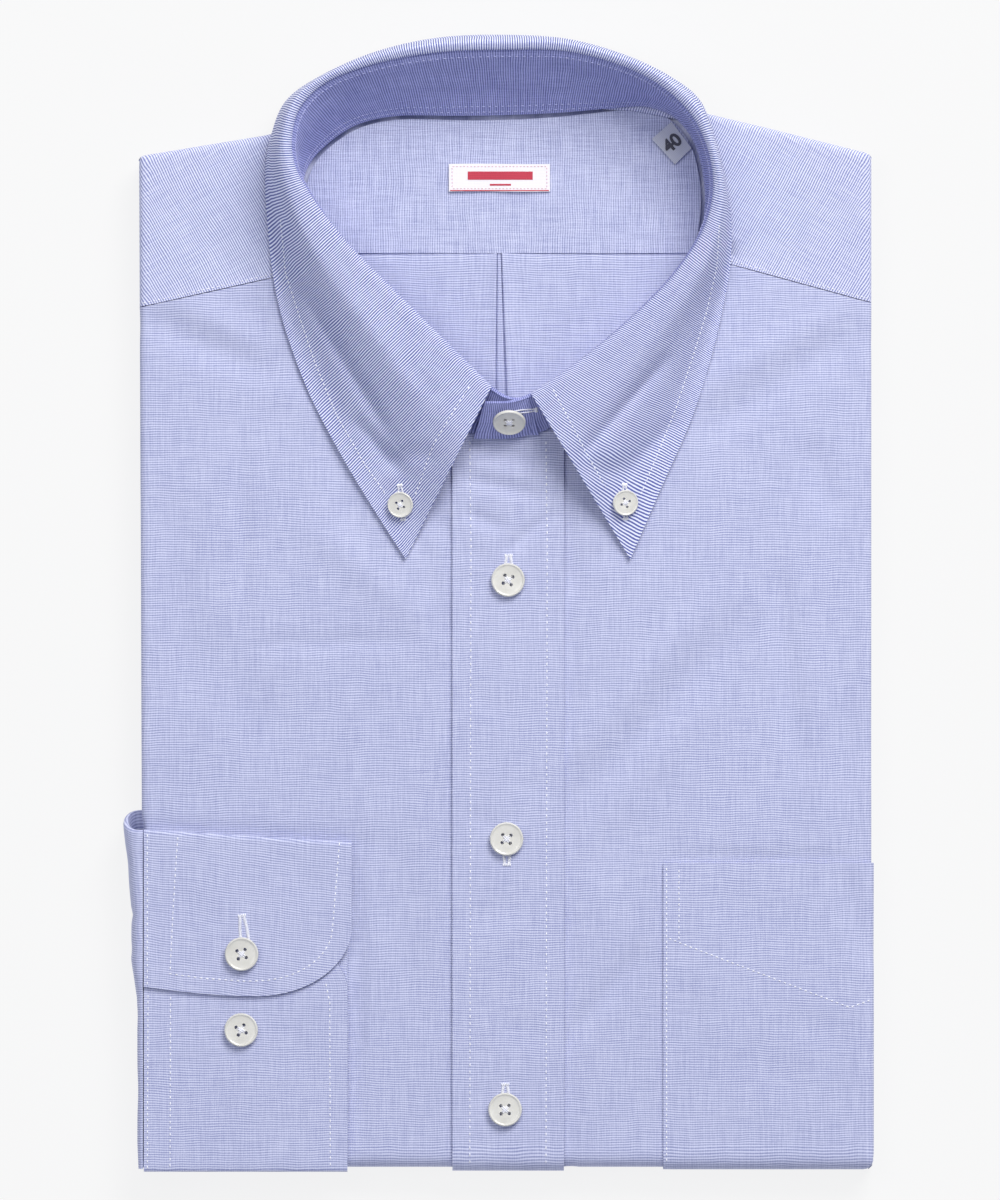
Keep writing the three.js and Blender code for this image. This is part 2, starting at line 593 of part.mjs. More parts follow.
// Inside of the neck: the inner yoke above its seam, and the back below it
const SEAM_SEARCH = 200;
const INNER_CLEAR = 1.9;
const INNER_SHARES = { left: 0.187, right: 0.822 };
const INNER_SEAM_X = { left: -62.5, right: 65.6 };
function frontSeamY(x) {
  const fine = steps(SEAM_SEARCH).map((s) => s * 0.25);
  const seam = [...fine.map(neckSeam), ...fine.map((s) => neckSeam(1 - s))];
  const nearest = seam.reduce((a, b) => (Math.abs(b.x - x) < Math.abs(a.x - x) ? b : a));
  return nearest.y;
}

function innerYoke() {
  const columns = steps(24).map((share) => {
    const high = insideSeam(THREE.MathUtils.lerp(INNER_SHARES.left, INNER_SHARES.right, share), INNER_CLEAR);
    high.y = Math.max(high.y, INNER_SEAM_Y + 2);
    const low = { x: THREE.MathUtils.lerp(INNER_SEAM_X.left, INNER_SEAM_X.right, share), y: INNER_SEAM_Y + GAP };
    return steps(3).map((t) => ({
      x: THREE.MathUtils.lerp(low.x, high.x, t),
      y: THREE.MathUtils.lerp(low.y, high.y, t),
    }));
  });
  return wallOnStack(columns, laid, FACE);
}

piece("yoke_inner", innerYoke(), LINING_FINISH);

// Back panel with a box pleat: raised lips that part towards the hem
const PLEAT = [
  { x: -48, rise: 0 },
  { x: -30, rise: 0 },
  { x: -20.6, rise: 0.05 },
  { x: -20, rise: 0.2 },
  { x: -12, rise: 0.1 },
  { x: -3.2, rise: 0.6 },
  { x: -1.9, rise: 0.8 },
  { x: -0.7, rise: -0.2 },
  { x: 1.9, rise: -0.2 },
  { x: 3.1, rise: 0.8 },
  { x: 4.4, rise: 0.6 },
  { x: 14, rise: 0.05 },
  { x: 32, rise: 0 },
  { x: 50, rise: 0 },
];
const PLEAT_TOP_X = -0.4;
const PLEAT_CLOSED = 0.28;

function backPanel() {
  const columns = PLEAT.map((row) => {
    const low = Math.max(frontSeamY(row.x) + INNER_CLEAR + 0.8, 62.5);
    return steps(3).map((t) => {
      const spread = THREE.MathUtils.lerp(1, PLEAT_CLOSED, t);
      const nearPleat = Math.abs(row.x) < 5;
      const x = nearPleat ? PLEAT_TOP_X + (row.x - PLEAT_TOP_X) * spread : row.x;
      return { x, y: THREE.MathUtils.lerp(low, INNER_SEAM_Y - GAP / 2, t), extra: row.rise };
    });
  });
  return wallOnStack(columns, laid, FACE);
}

piece("back_panel", backPanel(), LINING_FINISH);

// Chest pocket, running round the side fold and the hem
const POCKET = { left: 55.8, top: -88.4 };

function pocket() {
  const face = [0, 1 / 3, 2 / 3].map((share) => THREE.MathUtils.lerp(POCKET.left, RIGHT_FOLD, share));
  const wrap = WRAP_COLUMNS.map((share) => RIGHT_FOLD + sideWrap(share));
  const columns = [...face, ...wrap].map((x) => {
    const flat = [0.35, 0.7, 1].map((share) => THREE.MathUtils.lerp(HEM_FOLD, POCKET.top, share));
    return [...HEM_ROWS, ...flat].map((y) => ({ x, y }));
  });
  return wallOnStack(columns, drape, ON_FACE);
}

piece("pocket", pocket(), CLOTH_FINISH);

// Barrel cuff: one strip, from its curved overlap end up round the top fold, down behind
// and round the bottom fold to the underlap
const CUFF = { left: -120.8, right: -50.2, cornerX: -82.6, cornerY: -110, endY: -133.6 };
const CUFF_TOP = { left: -76.9, right: -81.2 };
const CUFF_BOTTOM = -193.4;
const CUFF_UNDER_TOP = -99;
const CUFF_COLUMNS = steps(7);

function cuffFold(fromHeight, toHeight, edge, way) {
  const radius = Math.abs(toHeight - fromHeight) / 2;
  const centre = (fromHeight + toHeight) / 2;
  return [0.2, 0.5, 0.8].map((share) => {
    const angle = Math.PI * share;
    return {
      edge,
      back: way * (Math.sin(angle) - 1) * radius,
      height: centre + (fromHeight - centre) * Math.cos(angle),
    };
  });
}

function cuffPoint(row, share) {
  const right = row.right ?? CUFF.right;
  const x = THREE.MathUtils.lerp(CUFF.left, right, share);
  const across = (x - CUFF.left) / (CUFF.right - CUFF.left);
  const top = THREE.MathUtils.lerp(CUFF_TOP.left, CUFF_TOP.right, across);
  const y = row.edge === "top" ? top - CLOTH / 2 + row.back : row.y + (row.back ?? 0);
  return new THREE.Vector3(x, y, stackTop(x, y) + row.height);
}

function barrelCuff() {
  const half = CLOTH / 2;
  const [over, under, back] = [CUFF_OVER + half, CUFF_UNDER + half, CUFF_BACK + half];
  const rows = [];
  steps(6).reverse().forEach((share) => {
    const angle = share * Math.PI / 2;
    rows.push({
      y: CUFF.cornerY + (CUFF.endY - CUFF.cornerY) * Math.sin(angle),
      right: CUFF.cornerX + (CUFF.right - CUFF.cornerX) * Math.cos(angle),
      height: over,
    });
  });
  rows.push({ y: -94, height: over });
  rows.push(...cuffFold(over, back, "top", 1));
  rows.push({ y: -110, height: back });
  rows.push({ y: -150, height: back });
  rows.push(...cuffFold(back, under, "bottom", -1).map((row) => ({ ...row, y: CUFF_BOTTOM + half })));
  rows.push({ y: -160, height: under });
  rows.push({ y: -130, height: under });
  rows.push({ y: CUFF_UNDER_TOP, height: under });
  const grid = rows.map((row) => CUFF_COLUMNS.map((share) => cuffPoint(row, share)));
  return wallAround(grid, CLOTH);
}

piece("cuff", barrelCuff(), CLOTH_FINISH);

// Sleeve end: comes up round the left edge from behind, its top end open on an inner layer.
// bulge is how far its middle line stands out of the cuff seam.
const SLEEVE = [
  { y: -192.4, bulge: 1.3, top: 0 },
  { y: -184, bulge: 1.7, top: 0 },
  { y: -149, bulge: 1.7, top: 0 },
  { y: -134, bulge: 1.9, top: 0 },
  { y: -127, bulge: 2.9, top: 0.8 },
  { y: -121, bulge: 3.9, top: 1 },
  { y: -105.4, bulge: 3.6, top: 1 },
  { y: -93.8, bulge: 4.7, top: 1 },
  { y: -76, bulge: 6.45, top: 1 },
];
const SLEEVE_SEAM_X = CUFF.left - GAP;
const SLEEVE_BOTTOM = 1.1;
const SLEEVE_TURNS = steps(10).map((share) => THREE.MathUtils.degToRad(90 - 170 * share));
const SLEEVE_SQUARENESS = 2 / 3;
const SLEEVE_PITCH = CLOTH + GAP;
const SLEEVE_INNER_END = -122;
const SLEEVE_MOUTH = { top: -71.6, side: -74.4 };

function sleevePoint(y, turn, inset) {
  const bulge = along(SLEEVE, "y", "bulge", y) - inset;
  const raised = along(SLEEVE, "y", "top", y);
  const half = CLOTH / 2;
  const outerTop = THREE.MathUtils.lerp(CUFF_UNDER, CUFF_OVER, raised) + half;
  const top = STACK_TOP + outerTop - inset * (CUFF_OVER - CUFF_BACK) / SLEEVE_PITCH;
  const bottom = SLEEVE_BOTTOM + inset;
  const [centre, rise] = [(top + bottom) / 2, (top - bottom) / 2];
  const side = Math.abs(Math.cos(turn)) ** SLEEVE_SQUARENESS;
  const up = Math.sign(Math.sin(turn)) * Math.abs(Math.sin(turn)) ** SLEEVE_SQUARENESS;
  return new THREE.Vector3(SLEEVE_SEAM_X - bulge * side, y, centre + rise * up);
}

function sleeveEnd() {
  const outer = SLEEVE.map((row) => row.y);
  const inner = [-84, -100, -112, SLEEVE_INNER_END];
  const rows = outer.map((y) => SLEEVE_TURNS.map((turn) => sleevePoint(y, turn, 0)));
  [0.2, 0.5, 0.8].forEach((share) => {
    const depth = (1 - Math.cos(Math.PI * share)) / 2 * SLEEVE_PITCH;
    rows.push(SLEEVE_TURNS.map((turn) => {
      const mouth = THREE.MathUtils.lerp(SLEEVE_MOUTH.side, SLEEVE_MOUTH.top, Math.max(0, Math.sin(turn)));
      const point = sleevePoint(-76, turn, depth);
      point.y = mouth - SLEEVE_PITCH / 2 * (1 - Math.sin(Math.PI * share));
      return point;
    }));
  });
  inner.forEach((y) => rows.push(SLEEVE_TURNS.map((turn) => sleevePoint(y, turn, SLEEVE_PITCH))));
  return wallAround(rows, CLOTH);
}

piece("sleeve", sleeveEnd(), CLOTH_FINISH);

// Buttons: a turned disc with a raised rim and four holes
const wasm = await Module();
wasm.setup();

function toSolid(geometry) {
  const plain = geometry.clone();
  plain.deleteAttribute("normal");
  plain.deleteAttribute("uv");
  const merged = mergeVertices(plain, 1e-4);
  return new wasm.Manifold(new wasm.Mesh({
    numProp: 3,
    vertProperties: new Float32Array(merged.attributes.position.array),
    triVerts: new Uint32Array(merged.index.array),
  }));
}

function toGeometry(solid) {
  const mesh = solid.getMesh();
  const geometry = new THREE.BufferGeometry();
  geometry.setAttribute("position", new THREE.BufferAttribute(new Float32Array(mesh.vertProperties), 3));
  geometry.setIndex(new THREE.BufferAttribute(new Uint32Array(mesh.triVerts), 1));
  geometry.computeVertexNormals();
  return geometry;
}

const BUTTON_SIDES = 16;
const HOLE_SIDES = 5;

function buttonSolid(diameter, thickness) {
  const r = diameter / 2;
  const profile = [
    new THREE.Vector2(0, 0),
    new THREE.Vector2(r * 0.82, 0),
    new THREE.Vector2(r, thickness * 0.55),
    new THREE.Vector2(r * 0.9, thickness),
    new THREE.Vector2(r * 0.66, thickness * 0.7),
    new THREE.Vector2(0, thickness * 0.66),
  ];
  const disc = new THREE.LatheGeometry(profile, BUTTON_SIDES);
  disc.rotateX(Math.PI / 2);
  let solid = toSolid(disc);
  const holeRadius = diameter * 0.065;
  const holeReach = diameter * 0.125;
  for (const [sideX, sideY] of [[1, 1], [-1, 1], [-1, -1], [1, -1]]) {
    const hole = new THREE.CylinderGeometry(holeRadius, holeRadius, thickness * 3, HOLE_SIDES);
    hole.rotateX(Math.PI / 2);
    hole.translate(sideX * holeReach, sideY * holeReach, 0);
    solid = solid.subtract(toSolid(hole));
  }
  return toGeometry(solid);
}

const LARGE_BUTTON = { diameter: 11.5, thickness: 2.4 };
const SMALL_BUTTON = { diameter: 8.9, thickness: 2.0 };
const STAND_BUTTON = { diameter: 11.2, thickness: 2.2 };
const largeButton = buttonSolid(LARGE_BUTTON.diameter, LARGE_BUTTON.thickness);
const smallButton = buttonSolid(SMALL_BUTTON.diameter, SMALL_BUTTON.thickness);
const standButton = buttonSolid(STAND_BUTTON.diameter, STAND_BUTTON.thickness);

// under is the height over the stack of the cloth that carries the button
const BUTTONS = [
  { name: "button_placket_top", shape: largeButton, x: 3.0, y: 7.8, under: ON_FACE + CLOTH },
  { name: "button_placket_middle", shape: largeButton, x: 2.5, y: -80.2, under: ON_FACE + CLOTH },
  { name: "button_placket_low", shape: largeButton, x: 2.0, y: -172.2, under: ON_FACE + CLOTH },
  { name: "button_cuff_over", shape: largeButton, x: -87.5, y: -119.3, under: CUFF_OVER + CLOTH },
  { name: "button_cuff_under", shape: largeButton, x: -87.7, y: -145.1, under: CUFF_UNDER + CLOTH },
];
for (const { name, shape, x, y, under } of BUTTONS) {
  piece(name, shape, BUTTON_FINISH).position.set(x, y, stackTop(x, y) + under + GAP);
}

// Collar buttons lie on the leaf near its points, which is seated on them by its own surface
function leafTop(x, y) {
  let nearest = { gap: Infinity, z: 0 };
  const fine = steps(240);
  const shares = x < 0 ? fine.map((s) => s * 0.12) : fine.map((s) => 1 - s * 0.12);
  for (const share of shares) {
    const row = leafPoints(share).slice(2);
    for (let k = 0; k < row.length - 1; k += 1) {
      for (const t of steps(20)) {
        const point = row[k].clone().lerp(row[k + 1], t);
        const gap = Math.hypot(point.x - x, point.y - y);
        if (gap < nearest.gap) nearest = { gap, z: point.z };
      }
    }
  }
  return nearest.z + LEAF_CLOTH / 2;
}

const COLLAR_BUTTONS = [
  { name: "button_collar_left", x: -33.4, y: 33.5 },
  { name: "button_collar_right", x: 42.6, y: 34.2 },
];
for (const { name, x, y } of COLLAR_BUTTONS) {
  const reach = SMALL_BUTTON.diameter / 2 * 0.82;
  const slopeX = (leafTop(x + reach, y) - leafTop(x - reach, y)) / (2 * reach);
  const slopeY = (leafTop(x, y + reach) - leafTop(x, y - reach)) / (2 * reach);
  const button = piece(name, smallButton, BUTTON_FINISH);
  const normal = new THREE.Vector3(-slopeX, -slopeY, 1).normalize();
  button.quaternion.setFromUnitVectors(new THREE.Vector3(0, 0, 1), normal);
  button.position.set(x, y, leafTop(x, y)).addScaledVector(normal, GAP + 0.25);
}

// Stand button, leaning back with the overlapped front ends of the stand
const STAND_LEAN = THREE.MathUtils.degToRad(41);
const STAND_BUTTON_PLACE = [3.4, 61.4, 25.4];
const standButtonMesh = piece("button_stand", standButton, BUTTON_FINISH);
standButtonMesh.rotation.set(STAND_LEAN, 0, 0);
standButtonMesh.position.set(...STAND_BUTTON_PLACE);

// Woven label and size tab on the inner yoke
const LABEL = { left: -17.1, right: 17.3, low: 139.9, high: 149.3 };

function neckLabel() {
  const columns = steps(4).map((share) => steps(1).map((t) => ({
    x: THREE.MathUtils.lerp(LABEL.left, LABEL.right, share),
    y: THREE.MathUtils.lerp(LABEL.low, LABEL.high, t),
  })));
  return wallOnStack(columns, laid, ON_FACE);
}

piece("neck_label", neckLabel(), LABEL_FINISH);

const TAB = { nearLeft: [51.9, 157.8], nearRight: [59.8, 149.1], farLeft: [58.6, 163.6], farRight: [65.4, 154.6] };

function sizeTab() {
  const mix = (a, b, t) => THREE.MathUtils.lerp(a, b, t);
  const columns = steps(2).map((s) => steps(2).map((t) => ({
    x: mix(mix(TAB.nearLeft[0], TAB.nearRight[0], s), mix(TAB.farLeft[0], TAB.farRight[0], s), t),
    y: mix(mix(TAB.nearLeft[1], TAB.nearRight[1], s), mix(TAB.farLeft[1], TAB.farRight[1], s), t),
  })));
  return wallOnStack(columns, laid, ON_FACE);
}

piece("size_tab", sizeTab(), LABEL_FINISH);

// The origin is under the middle of the whole shirt, on the surface that it lies on
const whole = new THREE.Box3().setFromObject(shirt, true);
shirt.position.set(-(whole.min.x + whole.max.x) / 2, -(whole.min.y + whole.max.y) / 2, -whole.min.z);

export default shirt;
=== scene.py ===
# %% [markdown]
# A folded dress shirt, photographed from straight above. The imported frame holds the
# plain solids, and this lesson dresses each of them: thin cloth shells with soft
# creases, sewing, buttons, labels, woven materials, light and a camera.

# %% Load the frame
import math

import bmesh
import bpy
from mathutils import Matrix, Vector
from mathutils.bvhtree import BVHTree


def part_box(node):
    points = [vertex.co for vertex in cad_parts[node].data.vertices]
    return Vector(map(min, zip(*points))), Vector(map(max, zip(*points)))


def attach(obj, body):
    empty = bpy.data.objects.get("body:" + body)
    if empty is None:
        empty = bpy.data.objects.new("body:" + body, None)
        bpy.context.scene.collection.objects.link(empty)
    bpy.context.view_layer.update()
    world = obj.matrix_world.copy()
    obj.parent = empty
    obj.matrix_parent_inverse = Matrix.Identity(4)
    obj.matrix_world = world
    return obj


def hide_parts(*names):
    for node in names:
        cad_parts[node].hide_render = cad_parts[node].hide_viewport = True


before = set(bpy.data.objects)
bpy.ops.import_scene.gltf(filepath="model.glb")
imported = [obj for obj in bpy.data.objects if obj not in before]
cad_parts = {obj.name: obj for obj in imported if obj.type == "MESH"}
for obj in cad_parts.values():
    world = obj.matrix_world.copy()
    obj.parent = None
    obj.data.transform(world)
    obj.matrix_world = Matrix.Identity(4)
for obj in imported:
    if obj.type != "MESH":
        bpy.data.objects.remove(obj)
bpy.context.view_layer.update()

print("nodes in the frame:", len(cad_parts))

# %% [markdown]
# A tailor measures in millimetres, so the sizes here are in millimetres, and a mesh
# is scaled to metres once its points are in place. The part's own shift is read from
# the neck label, which lies at a known place on the pattern.

# %% Sizes shared by the whole shirt
MM = 0.001
LABEL = {"left": -17.1, "right": 17.3, "low": 139.9, "high": 149.3}
label_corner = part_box("neck_label")[0] / MM
SHIFT = Vector((label_corner.x - LABEL["left"], label_corner.y - LABEL["low"], 0))

CLOTH = 1.0
GAP = 0.3
FACE = GAP
ON_FACE = FACE + CLOTH + GAP
CUFF_BACK = ON_FACE
CUFF_UNDER = CUFF_BACK + CLOTH + GAP
CUFF_OVER = CUFF_UNDER + CLOTH + GAP
THIN = 0.55
print("shift of the part, mm:", [round(v, 3) for v in SHIFT])

# %% Small helpers for numbers


def mix(a, b, share):
    return a + (b - a) * share


def steps(count):
    return [i / count for i in range(count + 1)]


def clamp(value, low=0.0, high=1.0):
    return max(low, min(high, value))


def along(table, at):
    """Height of a line of (place, value) points at a place."""
    row = 0
    while row < len(table) - 2 and at > table[row + 1][0]:
        row += 1
    (x0, y0), (x1, y1) = table[row], table[row + 1]
    return mix(y0, y1, clamp((at - x0) / (x1 - x0)))


def smooth_through(values, at):
    """Smooth curve through evenly spaced numbers or points."""
    i = min(int(at), len(values) - 2)
    t = at - i
    before, after = values[max(i - 1, 0)], values[min(i + 2, len(values) - 1)]
    start, end = values[i], values[i + 1]
    slope_start = (end - before) / 2
    slope_end = (after - start) / 2
    return (start * (2 * t**3 - 3 * t**2 + 1) + slope_start * (t**3 - 2 * t**2 + t)
            + end * (3 * t**2 - 2 * t**3) + slope_end * (t**3 - t**2))


# %% [markdown]
# The folded shirt is a low stack, a little thicker in its middle. Flat pattern points
# are draped over it: past a fold line the cloth rolls round the edge of the stack.
# One drape function gives every panel the same folds, so layers never cross.

# %% The folded stack and its drape
STACK_TOP = 13.9
STACK_CROWN = 1.4
CROWN_REACH = (125, 185)
CROWN_CENTRE_Y = -10
SIDE_ROLL = 2.35
HEM_ROLL = 6.2
FOLD_SQUARENESS = 0.55
WRAP_ANGLE = math.radians(150)
ROLL_CLOTH = FACE + CLOTH
HALF_LAYER = FACE + CLOTH / 2
LEFT_EDGE = {"hem": -121.1, "shoulder": -122.5}
RIGHT_EDGE = 126.6
HEM_EDGE = -191.9
SHOULDER_Y = 152
SHOULDER_LINE = [(-122.5, 152), (-77, 159.5), (-62, 165), (-45, 170.5), (-20, 172),
                 (20, 172.5), (45, 171.5), (69.7, 166.7), (92.8, 161.2), (126.6, 152.7)]
RIGHT_FOLD = RIGHT_EDGE - SIDE_ROLL - ROLL_CLOTH
HEM_FOLD = HEM_EDGE + HEM_ROLL + ROLL_CLOTH


def left_fold(y):
    share = (y - HEM_EDGE) / (SHOULDER_Y - HEM_EDGE)
    return mix(LEFT_EDGE["hem"], LEFT_EDGE["shoulder"], share) + SIDE_ROLL + ROLL_CLOTH


def shoulder_fold(x):
    return along(SHOULDER_LINE, x) - SIDE_ROLL - ROLL_CLOTH


def stack_top(x, y):
    across = max(0, 1 - (x / CROWN_REACH[0]) ** 2)
    down = max(0, 1 - ((y - CROWN_CENTRE_Y) / CROWN_REACH[1]) ** 2)
    return STACK_TOP + STACK_CROWN * across * down


def pressed_turn(count=60):
    """Squared half circle walked at an even pace: how far out and how high at each turn."""
    points = []
    for s in steps(count):
        across, up = math.sin(math.pi * s), math.cos(math.pi * s)
        points.append((abs(across) ** FOLD_SQUARENESS, math.copysign(abs(up) ** FOLD_SQUARENESS, up)))
    walked = [0]
    for (x0, y0), (x1, y1) in zip(points, points[1:]):
        walked.append(walked[-1] + math.hypot(x1 - x0, y1 - y0))
    turns = [math.pi * w / walked[-1] for w in walked]
    return [(t, x) for t, (x, _) in zip(turns, points)], [(t, y) for t, (_, y) in zip(turns, points)]


TURN_OUT, TURN_LEVEL = pressed_turn()


def fold_over(past, roll, height):
    """How far cloth that runs past a fold comes out of it, and how far it drops."""
    if past == 0:
        return 0, 0
    turn = abs(past) / (roll + HALF_LAYER)
    radius = roll + height
    return math.copysign(radius * along(TURN_OUT, turn), past), radius * (1 - along(TURN_LEVEL, turn))


def drape(x, y, height):
    """Place of a flat pattern point on the stack, at a height over it."""
    past = max(x - RIGHT_FOLD, 0) - max(left_fold(y) - x, 0)
    beyond = max(y - shoulder_fold(x), 0) - max(HEM_FOLD - y, 0)
    fold_x, fold_y = x - past, y - beyond
    out_x, drop_x = fold_over(past, SIDE_ROLL, height)
    end_roll = HEM_ROLL if beyond < 0 else SIDE_ROLL
    out_y, drop_y = fold_over(beyond, end_roll, height)
    corner = (abs(out_x / (SIDE_ROLL + height)) ** 3 + abs(out_y / (end_roll + height)) ** 3) ** (1 / 3)
    out_x, out_y = out_x / max(1, corner), out_y / max(1, corner)
    z = stack_top(fold_x, fold_y) + height - max(drop_x, drop_y)
    return Vector((fold_x + out_x, fold_y + out_y, z))


def laid(x, y, height):
    return Vector((x, y, stack_top(x, y) + height))


def side_wrap(share):
    return share * WRAP_ANGLE * (SIDE_ROLL + HALF_LAYER)


def hem_wrap(share):
    return share * WRAP_ANGLE * (HEM_ROLL + HALF_LAYER)


# %% [markdown]
# Pressed poplin still keeps soft dents where it was folded. Each crease is a row in a
# table: where it starts and ends, how wide it is, and how deep. A dent falls off
# smoothly to both sides and fades towards its ends, and a negative depth is a ridge.

# %% Creases, listed one by one
CREASE_REACH = 3.2


def crease_depth(creases, x, y):
    total = 0
    for x0, y0, x1, y1, width, depth in creases:
        run_x, run_y = x1 - x0, y1 - y0
        length = math.hypot(run_x, run_y)
        t = ((x - x0) * run_x + (y - y0) * run_y) / length**2
        off = ((x - x0) * run_y - (y - y0) * run_x) / length
        if 0 < t < 1 and abs(off) < CREASE_REACH * width:
            ends = 1 - abs(2 * t - 1) ** 3
            total += depth * ends * math.exp(-((off / width) ** 2))
    return total


def creased(flat, height, creases, over=drape):
    """Place function of a flat cut that lies at a height over the stack, with its creases."""
    def place(i, j):
        x, y = flat(i, j)
        return over(x, y, height - crease_depth(creases, x, y))

    return place


# %% [markdown]
# Every cloth piece starts as a flat grid, as cloth does. Its points are moved to their
# places on the shirt, its UV map keeps the flat cut in metres so that the weave runs
# along the grain, and Solidify gives it the thickness of two pressed layers.

# %% From a flat grid to a cloth piece
def cloth_grid(name, columns, rows, place, grain, thickness=THIN, offset=-1.0, flip=False):
    """Grid of columns by rows, moved by place(i, j) in mm, with grain(i, j) as its UV in mm."""
    bm = bmesh.new()
    bmesh.ops.create_grid(bm, x_segments=columns, y_segments=rows, size=0.5)
    uv = bm.loops.layers.uv.new("grain")
    index = {}
    for vert in bm.verts:
        i = round((vert.co.x + 0.5) * columns)
        j = round((vert.co.y + 0.5) * rows)
        index[vert] = (i, j)
    for face in bm.faces:
        face.smooth = True
        for loop in face.loops:
            loop[uv].uv = Vector(grain(*index[loop.vert])) * MM
    for vert, (i, j) in index.items():
        vert.co = (place(i, j) + SHIFT) * MM
    for edge in bm.edges:
        edge.smooth = not edge.is_boundary
    if flip:
        bmesh.ops.reverse_faces(bm, faces=bm.faces[:])
    return cloth_object(name, bm, thickness, offset)


def add_object(name, data):
    made = bpy.data.objects.new(name, data)
    bpy.context.scene.collection.objects.link(made)
    return made


def new_object(name, bm):
    mesh = bpy.data.meshes.new(name)
    bm.to_mesh(mesh)
    bm.free()
    return add_object(name, mesh)


def finished_mesh(piece):
    """Copy of a piece's mesh with its modifiers applied."""
    graph = bpy.context.evaluated_depsgraph_get()
    return bpy.data.meshes.new_from_object(piece.evaluated_get(graph))


def cloth_object(name, bm, thickness, offset=-1.0):
    piece = new_object(name, bm)
    solidify = piece.modifiers.new("cloth thickness", "SOLIDIFY")
    solidify.thickness = thickness * MM
    solidify.offset = offset
    print(name, "faces:", len(piece.data.polygons))
    return piece


def spread(*runs):
    """Places along a line: each run is (start, end, count), joined without repeats."""
    places = []
    for start, end, count in runs:
        fresh = [mix(start, end, s) for s in steps(count)]
        places += fresh[1:] if places else fresh
    return places


# %% [markdown]
# The neck is the heart of the shirt. Its stations go from the wearer's right front end
# round the back to the left one: the neck seam, the inner edge of the crest, and the
# outer edge of the leaf, with their heights. The same table drives stand, leaf, yokes
# and the openings of the panels.

# %% Collar stations
LEAF_CLOTH = 1.2
LEAF_OVER_FACE = 0.35
COLLAR = [
    # base x, y; roll x, y; edge x, y; crest height; edge height or None; lie
    (-9.5, 58, -2.6, 73.5, -31.8, 15, 31, None, 1),
    (-24, 68, -12, 82.8, -41.5, 30, 32, None, 1),
    (-37.5, 79.5, -24, 94.6, -53, 49, 33, None, 1),
    (-49, 92, -36, 106.5, -64.5, 71, 34, None, 1),
    (-58.5, 106, -48.3, 118.7, -73, 94, 35.5, None, 1),
    (-65.5, 120.5, -57.5, 129.5, -77, 112, 37, None, 0.9),
    (-68.6, 133, -64, 138.5, -78.6, 130, 38.5, None, 0.7),
    (-67, 144, -69, 147.5, -79.2, 147, 39.5, None, 0.4),
    (-63.5, 151.5, -70.3, 157.5, -77.4, 158, 40.3, 16.6, 0.2),
    (-56, 158.5, -67.2, 168.2, -72.4, 170.4, 40.9, 9, 0),
    (-47, 163.5, -57.5, 177, -60.5, 179, 41, 4, 0),
    (-34, 166, -40, 183.2, -42, 187.2, 41, 2, 0),
    (-16, 166, -20, 186.6, -21, 192, 41, 1.6, 0),
    (1, 166.2, 1, 187.4, 1, 193, 41, 1.6, 0),
    (20, 167, 22, 187, 23, 191.6, 41, 1.6, 0),
    (36, 168.4, 40, 182.6, 42.5, 186.2, 41, 2, 0),
    (50, 169.2, 54, 175.8, 58, 178.8, 41, 5, 0),
    (60, 165.2, 64.5, 166.2, 68.2, 170.2, 40.6, 15.5, 0),
    (66.6, 156.8, 70, 156, 73.4, 156, 40, None, 0.2),
    (69.7, 146, 72.5, 144.8, 76.4, 143.8, 39.2, None, 0.4),
    (70.4, 135, 71.6, 133.8, 78.4, 131, 38.2, None, 0.7),
    (68.6, 122.5, 67.3, 122.8, 78.4, 114, 36.8, None, 0.9),
    (63, 108.5, 59, 111, 75.4, 97, 35.4, None, 1),
    (53, 93.5, 47.2, 98.9, 70.8, 79, 34, None, 1),
    (41, 80, 34, 87.4, 64.6, 60.5, 33, None, 1),
    (28, 67.5, 22, 78.5, 55.5, 40, 32, None, 1),
    (15, 58.8, 10.8, 71.1, 44.6, 14.8, 31, None, 1),
]
LAST_STATION = len(COLLAR) - 1


def edge_height(row):
    if row[7] is not None:
        return row[7]
    return stack_top(row[4], row[5]) + ON_FACE + LEAF_CLOTH / 2 + LEAF_OVER_FACE


collar_base = [Vector((row[0], row[1], 0)) for row in COLLAR]
collar_roll = [Vector((row[2], row[3], row[6])) for row in COLLAR]
collar_edge = [Vector((row[4], row[5], edge_height(row))) for row in COLLAR]
collar_lie = [row[8] for row in COLLAR]


def station(values, share):
    return smooth_through(values, clamp(share) * LAST_STATION)


def neck_seam(share):
    return station(collar_base, share)


NECK_CENTRE = Vector((1, 122, 0))


def inside_seam(share, clear):
    seam = neck_seam(share)
    return seam + (NECK_CENTRE - seam).normalized() * clear


# %% [markdown]
# The yoke's front seams cross the shoulders. A panel that ends at the neck needs to
# know where its own seam meets the neck seam, which a short halving search finds.

# %% Yoke seams and where they meet the neck
YOKE_SEAM_LEFT = [(-128, 99.1), (-77.4, 110.4), (-60, 114.3)]
YOKE_SEAM_RIGHT = [(60, 120.1), (78.8, 115), (134, 99.9)]
HALVINGS = 30


def meeting_share(seam, below, above):
    """Share round the neck where it crosses a yoke seam, halved HALVINGS times."""
    for _ in range(HALVINGS):
        middle = (below + above) / 2
        place = neck_seam(middle)
        if place.y < along(seam, place.x):
            below = middle
        else:
            above = middle
    return (below + above) / 2


LEFT_MEETING = meeting_share(YOKE_SEAM_LEFT, 0.08, 0.25)
RIGHT_MEETING = meeting_share(YOKE_SEAM_RIGHT, 0.92, 0.75)
UNDER_STAND = 0.9
print("neck seam meets the yoke at", round(LEFT_MEETING, 3), round(RIGHT_MEETING, 3))

# %% [markdown]
# Poplin with a white thread after every blue one looks like fine pale and deep lines.
# A shader node group draws them from the UV map: lines along and across the grain,
# slubs where a thread is thicker, and a soft cloudiness. It gives out a mask and a
# height, so each cloth chooses its own two colours and how strongly the lines show.

